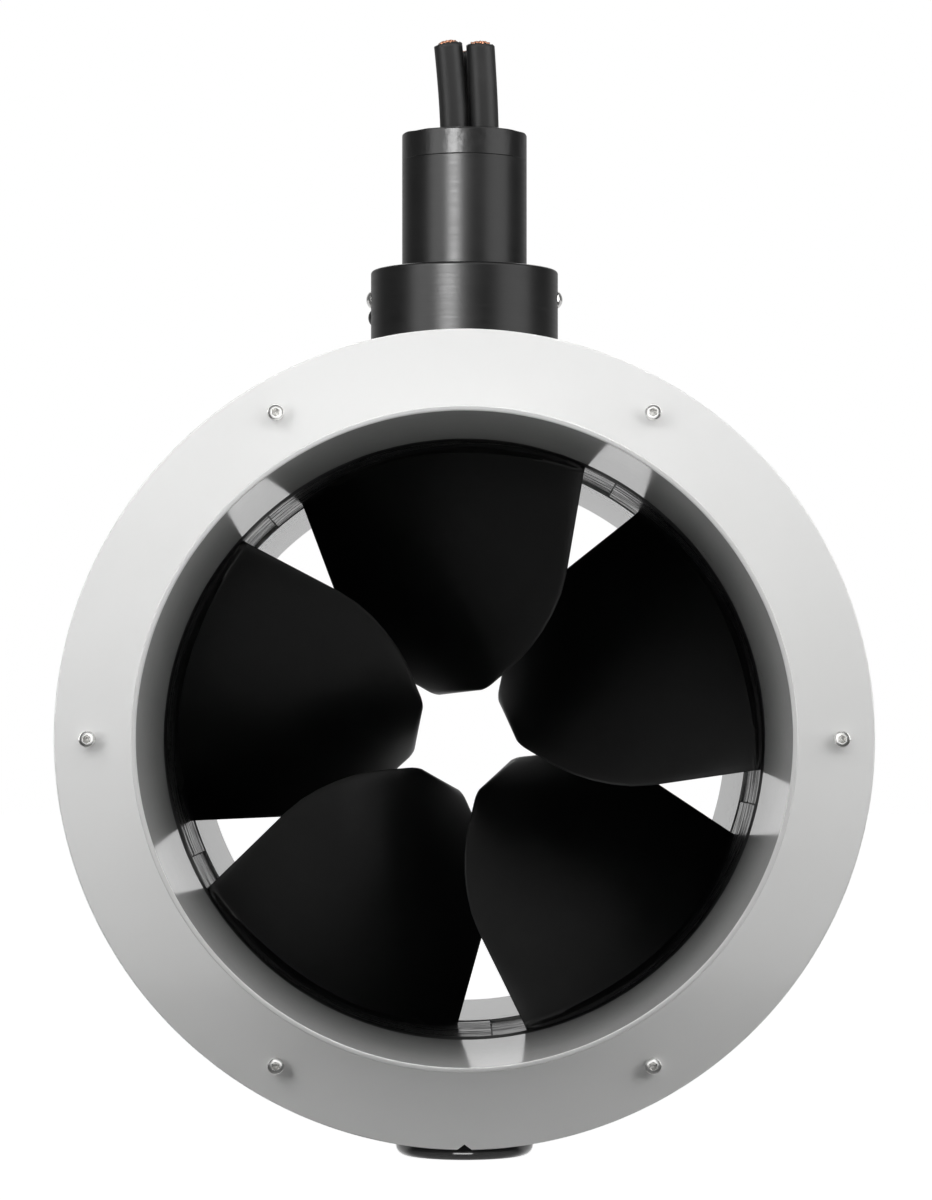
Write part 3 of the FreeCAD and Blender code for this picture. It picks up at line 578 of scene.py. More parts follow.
class Shell:
    """Closed surfaces gathered into one mesh."""

    def __init__(self) -> None:
        """Starts empty."""
        self.points: list = []
        self.faces: list = []
        self.count = 0

    def add(self, grid: np.ndarray, ring: bool = False) -> "Shell":
        """Adds a grid of points as a surface closed along its columns.

        Rows are joined to the next row and columns to the next column, the last column to the first. The first
        and the last row each get one flat face, or on a ring the last row joins the first.

        Args:
            grid: points, rows by columns by 3.
            ring: whether the rows close on themselves.

        Returns:
            The shell, for chaining.
        """
        rows, columns, _ = grid.shape
        index = np.arange(rows * columns).reshape(rows, columns) + self.count
        across = np.roll(index, -1, axis=1)
        if ring:
            low, high, low_next, high_next = index, np.roll(index, -1, axis=0), across, np.roll(across, -1, axis=0)
        else:
            low, high, low_next, high_next = index[:-1], index[1:], across[:-1], across[1:]
            self.faces += [index[0].tolist(), index[-1][::-1].tolist()]
        self.faces += np.stack([low, high, high_next, low_next], axis=-1).reshape(-1, 4).tolist()
        self.points.append(grid.reshape(-1, 3))
        self.count += rows * columns
        return self

    def make(self, name: str, sharp: float) -> bpy.types.Object:
        """Makes the object, smooth except at sharp edges.

        Args:
            name: the piece's name.
            sharp: angle in degrees between faces past which an edge stays crisp.

        Returns:
            The new object, in the scene.
        """
        mesh = bpy.data.meshes.new(name)
        mesh.from_pydata(np.concatenate(self.points).tolist(), [], self.faces)
        built = bmesh.new()
        built.from_mesh(mesh)
        bmesh.ops.recalc_face_normals(built, faces=built.faces)
        built.to_mesh(mesh)
        built.free()
        mesh.polygons.foreach_set("use_smooth", np.ones(len(mesh.polygons), dtype=bool))
        mesh.set_sharp_from_angle(angle=math.radians(sharp))
        return placed(name, mesh)


def softened(corners: list, steps: int = 4) -> np.ndarray:
    """Closed outline whose corners are rounded.

    Each corner (radius, along, rounding) becomes a parabola that starts and ends one rounding away from the
    corner on its two sides: (1-t)^2 a + 2 t (1-t) corner + t^2 b. A fifth of a rounding before and after it
    stands one more point, so that the shading of the flat beside it stays flat.

    Args:
        corners: corners in order, with the rounding of each.
        steps: points on each rounding.

    Returns:
        Points, n by 2.
    """
    table = np.array(corners, dtype=float)
    corner, reach = table[:, :2], table[:, 2:3]
    before, after = np.roll(corner, 1, axis=0) - corner, np.roll(corner, -1, axis=0) - corner
    inwards = before / np.linalg.norm(before, axis=1, keepdims=True) * reach
    onwards = after / np.linalg.norm(after, axis=1, keepdims=True) * reach
    start, end = corner + inwards, corner + onwards
    t = np.linspace(0.0, 1.0, steps)[None, :, None]
    curve = (1 - t) ** 2 * start[:, None] + 2 * t * (1 - t) * corner[:, None] + t ** 2 * end[:, None]
    beside = [(start + 0.2 * inwards)[:, None], curve, (end + 0.2 * onwards)[:, None]]
    return np.concatenate(beside, axis=1).reshape(-1, 2)


def turns(count: int) -> np.ndarray:
    """One row of equal angles round a full turn, in radians."""
    return np.linspace(0.0, 2 * math.pi, count, endpoint=False)[None, :]


def about_tunnel(radius: np.ndarray, along: np.ndarray, angle: np.ndarray) -> np.ndarray:
    """Points at a radius and an angle about the tunnel axis: x = r sin a, y = along, z = r cos a."""
    radius, along, angle = np.broadcast_arrays(radius, along, angle)
    return np.stack([radius * np.sin(angle), along, radius * np.cos(angle)], axis=-1)


def about_stem(radius: np.ndarray, height: np.ndarray, angle: np.ndarray) -> np.ndarray:
    """Points at a radius and an angle about the stem axis: x = r cos a, y = r sin a, z = height."""
    radius, height, angle = np.broadcast_arrays(radius, height, angle)
    return np.stack([radius * np.cos(angle), radius * np.sin(angle), height], axis=-1)


def turned_about_tunnel(outline: np.ndarray) -> np.ndarray:
    """Grid of a closed outline (radius, along) turned about the tunnel axis."""
    return about_tunnel(outline[:, :1], outline[:, 1:2], turns(360))


def rotated_about_tunnel(points: np.ndarray, angle: float) -> np.ndarray:
    """Points turned clockwise about the tunnel axis: x' = x cos a + z sin a, z' = z cos a - x sin a."""
    (x, y, z), cosine, sine = np.moveaxis(points, -1, 0), math.cos(angle), math.sin(angle)
    return np.stack([x * cosine + z * sine, y, z * cosine - x * sine], axis=-1)


# ---------------------------------------------------------------- sizes read from the frame

def limit(node: str, end: int, axis: int, digits: int = 5) -> float:
    """One face of a frame node's box, rounded: its LOW or HIGH end along an axis."""
    return round(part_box(node)[end][axis], digits)


@dataclass(frozen=True)
class Plan:
    """Sizes that several sub-assemblies share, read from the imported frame, in metres."""

    bore: float
    spigot: float
    flange: float
    tunnel_end: float
    flange_face: float
    flange_back: float
    housing: float
    housing_end: float
    stem: float

    @classmethod
    def read(cls, frame: dict) -> "Plan":
        """Reads the plan.


        Returns:
            The sizes.
        """
        mounts = {mount["name"]: mount for mount in frame["record"]["mounts"]}
        radius = {name: mount["dims"].get("r_mm", 0.0) * MM for name, mount in mounts.items()}
        return cls(bore=radius["front_bore"], spigot=radius["front_spigot"], stem=radius["stem"],
                   flange=limit("front_tunnel_stub", HIGH, Z, 4),
                   tunnel_end=-limit("front_tunnel_stub", LOW, Y),
                   flange_face=-limit("front_flange_screws", LOW, Y) - FlangeScrews.head_height,
                   flange_back=-limit("front_tunnel_stub", HIGH, Y),
                   housing=limit("motor_housing", HIGH, X, 3), housing_end=limit("motor_housing", HIGH, Y))


@dataclass
class SubAssembly:
    """A group of pieces that ride on one body."""

    plan: Plan
    paints: Paintbox
    body: str = FIXED_BODY

    def fit(self, piece: bpy.types.Object, finish: Finish, *nodes: str) -> bpy.types.Object:
        """Dresses a piece, puts it on its body and lets it stand for frame nodes.

        Args:
            piece: the new object.
            finish: its finish.
            nodes: frame nodes that it replaces.

        Returns:
            The same object.
        """
        self.paints.paint(piece, finish)
        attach(piece, self.body)
        if nodes:
            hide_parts(*nodes)
        LOG.info("%s: %d faces", piece.name, len(getattr(piece.data, "polygons", ())))
        return piece

    def shape(self, name: str, grid: np.ndarray, finish: Finish, *nodes: str, ring: bool = True,
              sharp: float = 32.0) -> bpy.types.Object:
        """Makes a piece from one grid and fits it; the arguments are those of fit, add and make."""
        return self.fit(Shell().add(grid, ring).make(name, sharp), finish, *nodes)

    def build(self) -> None:
        """Makes every piece of the group."""
        raise NotImplementedError


# ---------------------------------------------------------------- tunnel stubs

@dataclass
class TunnelStubs(SubAssembly):
    """The two flanged tunnel ends."""

    lip_rounding: float = 0.0006
    root_rounding: float = 0.005
    edge_rounding: float = 0.0008
    crisp: float = 0.00015
    notch_half_width: float = 0.0031
    notch_depth: float = 0.0023
    notch_columns: int = 41
    columns: int = 360

    def build(self) -> None:
        """Makes the front stub and its mirror image at the rear."""
        for word, side in ENDS.items():
            self.shape(f"{word}_stub", self.grid(side), Finish.WHITE_MOULDING, f"{word}_tunnel_stub")

    def grid(self, side: float) -> np.ndarray:
        """Tube and flange turned in one, with a V notch at the bottom of the flange's edge.

        The outline runs from the bore's end round the lip, along the tube, over the root fillet, out over the
        flange and back along the bore. Radii past half way up the edge lose the notch's depth times one less
        the distance from the notch's middle over its half width.

        Args:
            side: -1 for the front end, 1 for the rear.

        Returns:
            Grid of points.
        """
        plan = self.plan
        outline = softened([
            (plan.bore, plan.tunnel_end, self.lip_rounding), (plan.spigot, plan.tunnel_end, self.lip_rounding),
            (plan.spigot, plan.flange_face, self.root_rounding),
            (plan.flange, plan.flange_face, self.edge_rounding), (plan.flange, plan.flange_back, self.crisp),
            (plan.bore, plan.flange_back, self.crisp)], 6)
        notch = 3 * math.pi
        span = 1.5 * self.notch_half_width / plan.flange
        angle = np.concatenate([np.linspace(math.pi + span, notch - span, self.columns, endpoint=False),
                                np.linspace(notch - span, notch + span, self.notch_columns, endpoint=False)])
        depth = self.notch_depth * np.clip(1 - np.abs(angle - notch) * plan.flange / self.notch_half_width, 0, 1)
        radius = outline[:, :1] + 0 * angle[None, :]
        outer = outline[:, :1] > plan.flange - 2 * self.edge_rounding
        radius = np.where(outer, np.minimum(radius, plan.flange - depth[None, :]), radius)
        return about_tunnel(radius, side * outline[:, 1:2], angle[None, :])


@dataclass
class FlangeScrews(SubAssembly):
    """Socket head cap screws of both flanges, with knurled heads."""

    head_radius: float = 0.0035
    head_height: float = 0.004
    circle: float = 0.156
    count: int = 6
    across_flats: float = 0.003
    socket_depth: float = 0.002
    drilled: float = 1.6
    shank: float = 0.002
    reach: float = 0.018
    ridges: int = 40
    knurl: float = 0.00014
    chamfer: float = 0.0004
    sharp: float = 28.0

    def build(self) -> None:
        """Makes each flange's six screws as one piece."""
        for word, side in ENDS.items():
            shell = Shell()
            for place in range(self.count):
                turn = math.pi / 2 + 2 * math.pi * place / self.count
                shell.add(rotated_about_tunnel(self.screw(side), turn))
            self.fit(shell.make(f"{word}_screws", self.sharp), Finish.STAINLESS, f"{word}_flange_screws")

    def screw(self, side: float) -> np.ndarray:
        """One screw at the top of its circle.

        Rows run from the socket's drilled point up its hexagonal wall, over the head's top and chamfer, down the
        knurled side and along the shank. The hexagon's radius is half its width over the cosine of the angle
        to the nearest flat, and the knurl is a cosine wave that takes up to its depth off the side.

        Args:
            side: -1 for the front end, 1 for the rear.

        Returns:
            Grid of points.
        """
        angle = turns(4 * self.ridges)
        hexagon = self.across_flats / 2 / np.cos((angle + math.pi / 6) % (math.pi / 3) - math.pi / 6)
        knurled = self.head_radius - self.knurl * (1 - np.cos(self.ridges * angle)) / 2
        chamfer, smooth = self.chamfer, self.head_radius - self.knurl
        foot = self.plan.flange_face
        top, end = foot + self.head_height, foot - self.reach
        rows = [(0.1 * hexagon, top - self.drilled * self.socket_depth), (hexagon, top - self.socket_depth),
                (hexagon, top - 0.3 * chamfer), (hexagon + 0.3 * chamfer, top), (smooth - chamfer, top),
                (smooth - 0.4 * chamfer, top - 0.25 * chamfer), (knurled, top - chamfer), (knurled, foot + chamfer),
                (smooth, foot), (self.shank, foot), (self.shank, end + chamfer), (self.shank - chamfer, end)]
        radius = np.concatenate([row[0] + 0 * angle for row in rows])
        along = np.array([row[1] for row in rows])[:, None]
        x, z = radius * np.sin(angle), self.circle + radius * np.cos(angle)
        return np.stack([x, side * along + 0 * x, z], axis=-1)


# ---------------------------------------------------------------- motor

@dataclass
class Motor(SubAssembly):
    """Housing ring, end covers and lower cap; the inner nodes keep their solids."""

    wall: float = 0.010
    edge: float = 0.0005
    cap_radius: float = 0.0295
    cap_rounding: float = 0.0045
    cap_sharp: float = 40.0
    spigot_radius: float = 0.020

    def build(self) -> None:
        """Makes the outer pieces."""
        plan = self.plan
        housing = self.band(plan.housing - self.wall, -plan.housing_end, plan.housing_end)
        self.shape("housing_ring", turned_about_tunnel(housing), Finish.WHITE_HOUSING, "motor_housing")
        for word, side in ENDS.items():
            cover = self.band(limit(f"{word}_bearing_bush", HIGH, X, 4), plan.flange_back, plan.housing_end)
            self.shape(f"{word}_cover", turned_about_tunnel(cover * np.array([1.0, side])), Finish.WHITE_HOUSING,
                       f"{word}_end_cover")
        self.shape("lower_cap", self.cap(), Finish.CAP_BLACK, "bottom_cap", ring=False, sharp=self.cap_sharp)

    def band(self, inner: float, start: float, end: float) -> np.ndarray:
        """Rectangular outline from a radius out to the housing's, and from start to end along the tunnel."""
        outer, edge = self.plan.housing, self.edge
        return softened([(inner, start, edge), (outer, start, edge), (outer, end, edge), (inner, end, edge)])

    def cap(self) -> np.ndarray:
        """Round cap under the housing.

        Rows run from the middle of the flat bottom over a quarter-round edge and up the side to the housing,
        whose surface is z = -sqrt(R^2 - y^2), and back along it to the spigot, which ends inside the wall.

        Returns:
            Grid of points.
        """
        plan, angle = self.plan, turns(128)
        bottom = limit("bottom_cap", LOW, Z)
        quarter = np.linspace(0, math.pi / 2, 9)
        radius = np.concatenate([[0.3 * self.cap_radius, 0.6 * self.cap_radius],
                                 self.cap_radius - self.cap_rounding * (1 - np.sin(quarter))])[:, None]
        height = np.concatenate([[bottom, bottom], bottom + self.cap_rounding * (1 - np.cos(quarter))])[:, None]
        seat = np.array([[self.cap_radius], [self.spigot_radius]])
        seated = about_stem(seat, -np.sqrt(plan.housing ** 2 - (seat * np.sin(angle)) ** 2), angle)
        inside = about_stem(seat[1:], np.array([[self.wall / 2 - plan.housing]]), angle)
        return np.concatenate([about_stem(radius, height, angle), seated, inside])


# ---------------------------------------------------------------- rotor

@dataclass
class Rotor(SubAssembly):
    """Five blades with their feet, and the ring that clamps them."""

    body: str = ROTOR_BODY
    blades: int = 5
    middle: float = -5.3
    axial_middle: float = 0.004
    tip_radius: float = 0.0202
    tip_rounding: float = 0.0448
    tip_half_width: float = 0.0112
    tip_splay: float = 1.4
    tip_corner: float = 0.0022
    tip_angles: tuple = (2.0, 3.5, 5.5, 8.0, 11.0, 15.0, 20.0, 26.0, 33.0, 41.0, 50.0, 60.0, 70.0, 80.0)
    facet_depth: float = 0.0085
    root_half_width: float = 0.0658
    taper: float = 0.27
    root_pitch: float = 0.346
    tip_pitch: float = 0.250
    root_thickness: float = 0.009
    tip_thickness: float = 0.003
    edge_thickness: float = 0.0014
    camber: float = 0.035
    rows: int = 40
    row_crowding: float = 1.6
    half_columns: int = 24
    edge_power: int = 24
    edge_least: float = 0.05
    sharp: float = 40.0
    relief: float = 0.0002
    step: float = 0.0014
    joint: float = 0.0003
    foot_edge: float = 0.00025
    foot_rows: int = 72
    fillet: float = 0.0016
    fillet_reach: float = 0.0022
    clamp_edges: tuple = (0.0005, 0.0004, 0.0002, 0.0002, 0.0002, 0.00025)

    def build(self) -> None:
        """Makes the blades and the clamp ring."""
        for number in range(self.blades):
            turn = math.radians(self.middle + 360.0 * number / self.blades)
            for name, grid, finish, nodes in (
                    ("vane", self.vane(), Finish.BLADE_BLACK, (f"blade_{number + 1}",)),
                    ("foot", self.foot(), Finish.FOOT_BLACK, ())):
                self.shape(f"{name}_{number + 1}", rotated_about_tunnel(grid, turn), finish, *nodes, ring=False,
                           sharp=self.sharp)
        self.shape("clamp_ring", self.clamp(), Finish.CLAMP_BLACK, "front_clamp_ring")

    @property
    def seat(self) -> float:
        """Radius of the carrier's bore under the blade feet."""
        return self.plan.bore + self.relief + 2 * self.step

    @property
    def axis_half_width(self) -> float:
        """Half width that the blade's straight taper would have on the axis."""
        return self.root_half_width - self.taper * self.plan.bore

    def pitch(self, radius: np.ndarray) -> np.ndarray:
        """Advance per turn at a radius, linear from tip to bore."""
        share = (radius - self.tip_radius) / (self.plan.bore - self.tip_radius)
        return self.tip_pitch + (self.root_pitch - self.tip_pitch) * share

    def mean(self, across: np.ndarray, height: np.ndarray) -> np.ndarray:
        """Axial place of the mean surface: the middle less pitch times the angle over a full turn."""
        turn = np.arctan2(across, height) / (2 * math.pi)
        return self.axial_middle - self.pitch(np.hypot(across, height)) * turn

    def heights(self, fraction: np.ndarray) -> np.ndarray:
        """Heights of the vane's rows.

        Along each fraction f of the half width W(h) = c + k h they run from the tip to where the blade meets the
        middle radius R of the foot, the root of (f W(h))^2 + h^2 = R^2.

        Args:
            fraction: one row of fractions, -1..1.

        Returns:
            Heights, rows from tip to root.
        """
        full = self.tip_radius + self.tip_rounding
        k, c, squared = self.taper, self.axis_half_width, fraction ** 2
        first, half, last = 1 + squared * k ** 2, squared * k * c, squared * c ** 2 - (self.seat - self.step / 2) ** 2
        end = (-half + np.sqrt(half ** 2 - first * last)) / first
        tip = (full - self.tip_rounding * np.cos(np.radians(self.tip_angles)))[:, None] + 0 * fraction
        share = 1 - (1 - np.linspace(0, 1, self.rows)[:, None]) ** self.row_crowding
        return np.concatenate([tip, full + (end - full) * share])

    def half_width(self, height: np.ndarray) -> np.ndarray:
        """Half width of the vane.

        It tapers in a straight line, c + k h, and is closed at the tip by a quarter ellipse. The ellipse's very
        end is cut straight across, with a straight facet on each side and a small rounding between them.

        Args:
            height: heights above the axis.

        Returns:
            The half width at each height.
        """
        below = np.clip(self.tip_radius + self.tip_rounding - height, 0, None) / self.tip_rounding
        ellipse = (self.axis_half_width + self.taper * height) * np.sqrt(1 - below ** 2)
        depth = height - self.tip_radius
        short = 1 - np.clip(depth / self.tip_corner, 0, 1)
        corner = self.tip_corner * (1 - np.sqrt(1 - short ** 2))
        facet = self.tip_half_width + self.tip_splay * depth - corner
        return np.maximum(ellipse, facet * (depth < self.facet_depth)) - self.edge_thickness / 4

    def half_thickness(self, fraction: np.ndarray, height: np.ndarray, across: np.ndarray) -> np.ndarray:
        """Half thickness of the vane.

        It is fullest in the middle by 1 - f^2 and grows in a straight line towards the root. It falls to nothing
        over the last of the tip and of each edge, and grows into a fillet at the foot.

        Args:
            fraction: fractions of the half width, -1..1.
            height: heights above the axis.
            across: distances from the blade's middle.

        Returns:
            The half thickness at each point.
        """
        bore, above = self.plan.bore, height - self.tip_radius
        middle = self.tip_thickness + (self.root_thickness - self.tip_thickness) * (above / (bore - self.tip_radius))
        full = self.edge_thickness + (middle - self.edge_thickness) * (1 - fraction ** 2)
        near_tip = np.clip(above / self.edge_thickness, 0, 1)
        near_root = np.clip(1 - (bore + self.relief - np.hypot(across, height)) / self.fillet_reach, 0, 1.2)
        rounded = full / 2 * np.sqrt(1 - (1 - near_tip) ** 2) + self.fillet * near_root ** 2
        return rounded * np.sqrt(np.clip(1 - np.abs(fraction) ** self.edge_power, self.edge_least, 1))

    def vane(self) -> np.ndarray:
        """One blade as rows of closed sections from its tip to inside its foot.

        A section is the mean surface plus a camber of 1 - f^2 at each fraction f of the half width, with half
        the thickness laid off square to it on both sides.

        Returns:
            Grid of points, rows from tip to root.
        """
        columns = 2 * self.half_columns + 1
        front = np.sin(np.linspace(-math.pi / 2, math.pi / 2, columns))
        fraction = np.concatenate([front, front[::-1]])[None, :]
        side = np.repeat([-1.0, 1.0], columns)[None, :]
        height = self.heights(fraction)
        width = self.half_width(height)
        across = width * fraction
        mean, delta = self.mean(across, height), 1e-5
        slope = (self.mean(across + delta, height) - self.mean(across - delta, height)) / (2 * delta)
        length = np.hypot(1, slope)
        arch = self.camber * 2 * width * length * (1 - fraction ** 2)
        offset = side * self.half_thickness(fraction, height, across) - arch
        return np.stack([across - slope / length * offset, mean + offset / length, height], axis=-1)

    def foot(self) -> np.ndarray:
        """Ring segment under one blade.

        Its inner surface is part of a circle whose centre is moved towards the clockwise end by s, so its
        radius at angle a is s sin a + sqrt(R^2 - s^2 cos^2 a): thick at one end and thin at the other.

        Returns:
            Grid of points, rows from end to end.
        """
        half = math.pi / self.blades
        shift = self.step / 2 / math.sin(half)
        circle = self.plan.bore + self.relief + self.step / 2
        front, rear = (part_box("blade_1")[end][Y] for end in (LOW, HIGH))
        reach = half - self.joint / 2 / circle
        edge = self.foot_edge
        angle = np.concatenate([[-reach], np.linspace(-reach + edge / circle, reach - edge / circle, self.foot_rows),
                                [reach]])[:, None]
        inner = shift * np.sin(angle) + np.sqrt(circle ** 2 - (shift * np.cos(angle)) ** 2)
        bevel = np.zeros_like(angle)
        bevel[[0, -1]] = edge
        outer = self.seat + 0 * angle
        radius = np.concatenate([inner + edge, inner + bevel, inner + bevel, inner + edge, outer, outer], axis=1)
        along = np.array([[front, front + edge, rear - edge, rear, rear, front]])
        return about_tunnel(radius, along, angle)

    def clamp(self) -> np.ndarray:
        """Clamp ring with its collar inside the carrier and its lip over the carrier's end.

        Returns:
            Grid of points.
        """
        front, rear = limit("front_clamp_ring", LOW, Y), limit("front_clamp_ring", HIGH, Y)
        carrier, lip = limit("rotor_carrier", LOW, Y), limit("front_clamp_ring", HIGH, X, 4)
        rim = self.plan.bore + self.relief
        corners = ((rim, front), (lip, front), (lip, carrier), (self.seat, carrier), (self.seat, rear), (rim, rear))
        return turned_about_tunnel(softened([(*corner, edge) for corner, edge in zip(corners, self.clamp_edges)]))


# ---------------------------------------------------------------- stem

@dataclass
class Stem(SubAssembly):
    """Collar, tube and end sleeve on top of the motor."""

    boss_radius: float = 0.036
    collar_rounding: float = 0.0012
    collar_bevel: float = 0.0003
    tube_wall: float = 0.0035
    tube_drop: float = 0.0003
    foot_step: float = 0.0006
    crisp: float = 0.0001
    soft: float = 0.0002
    sleeve_wall: float = 0.001
    sleeve_foot: float = 0.0004
    sleeve_rounding: float = 0.0006
    sleeve_mouth: float = 0.00015
    wave: float = 0.0004
    waves: tuple = ((3, 0.5, 0.6), (7, 0.3, 0.0), (13, 0.2, 2.0))

    def build(self) -> None:
        """Makes the three pieces."""
        self.shape("collar", self.collar(), Finish.STEM_BLACK, "stem_collar")
        self.shape("tube", self.tube(), Finish.STEM_BLACK, "stem_tube")
        self.shape("sleeve", self.sleeve(), Finish.SLEEVE_BLACK, "stem_end_sleeve")

    def collar(self) -> np.ndarray:
        """Collar whose foot follows the housing: z = sqrt(R^2 - y^2), and whose top edge is rounded.

        Returns:
            Grid of points.
        """
        radius, top = limit("stem_collar", HIGH, X, 4), limit("stem_collar", HIGH, Z)
        boss_top = limit("stem_tube", LOW, Z)
        angle, quarter = turns(192), np.linspace(0, math.pi / 2, 6)
        edge_r = np.append(radius, radius - self.collar_rounding * (1 - np.cos(quarter)))
        edge_z = np.append(top - 1.3 * self.collar_rounding, top - self.collar_rounding * (1 - np.sin(quarter)))
        seat, bevel = self.plan.stem - self.foot_step, self.collar_bevel
        upper = about_stem(np.concatenate([edge_r, [seat, seat, self.boss_radius]])[:, None],
                           np.concatenate([edge_z, [top, boss_top, boss_top]])[:, None], angle)
        feet = np.array([[self.boss_radius], [radius - bevel], [radius], [radius]])
        rise = np.array([[0.0], [0.0], [bevel], [2 * bevel]])
        lower = about_stem(feet, np.sqrt(self.plan.housing ** 2 - (feet * np.sin(angle)) ** 2) + rise, angle)
        return np.concatenate([upper, lower])

    def tube(self) -> np.ndarray:
        """Plain tube, reduced inside the collar and under the sleeve.

        Returns:
            Grid of points.
        """
        outer, crisp, soft = self.plan.stem, self.crisp, self.soft
        inner, reduced, neck = outer - self.tube_wall, outer - self.foot_step, outer - self.sleeve_wall
        foot, top = limit("stem_tube", LOW, Z), limit("stem_tube", HIGH, Z) - self.tube_drop
        seat, shoulder = limit("stem_collar", HIGH, Z), limit("stem_end_sleeve", LOW, Z)
        outline = softened([(inner, foot, soft), (reduced, foot, soft), (reduced, seat, crisp), (outer, seat, soft),
                            (outer, shoulder, soft), (neck, shoulder, crisp), (neck, top, soft),
                            (inner, top, self.sleeve_rounding)])
        return about_stem(outline[:, :1], outline[:, 1:2], turns(192))

    def sleeve(self) -> np.ndarray:
        """Glossy sleeve with a rounded top edge that wavers.

        The top edge drops by a sum of three sine waves round the tube, between nothing and twice the wave.

        Returns:
            Grid of points.
        """
        outer, inner = self.plan.stem, self.plan.stem - self.sleeve_wall
        bottom, top = limit("stem_end_sleeve", LOW, Z), limit("stem_end_sleeve", HIGH, Z)
        outline = softened([(inner, bottom, self.crisp), (outer, bottom, self.sleeve_foot),
                            (outer, top, self.sleeve_rounding), (inner, top, self.sleeve_mouth)], 6)
        angle, radius, height = turns(240), outline[:, :1], outline[:, 1:2]
        waver = self.wave * (1 + sum(share * np.sin(count * angle + phase) for count, share, phase in self.waves))
        head = np.clip((height - bottom) / (top - bottom) * 2 - 1, 0, 1)
        return about_stem(radius, height - waver * head, angle)


# ---------------------------------------------------------------- cables

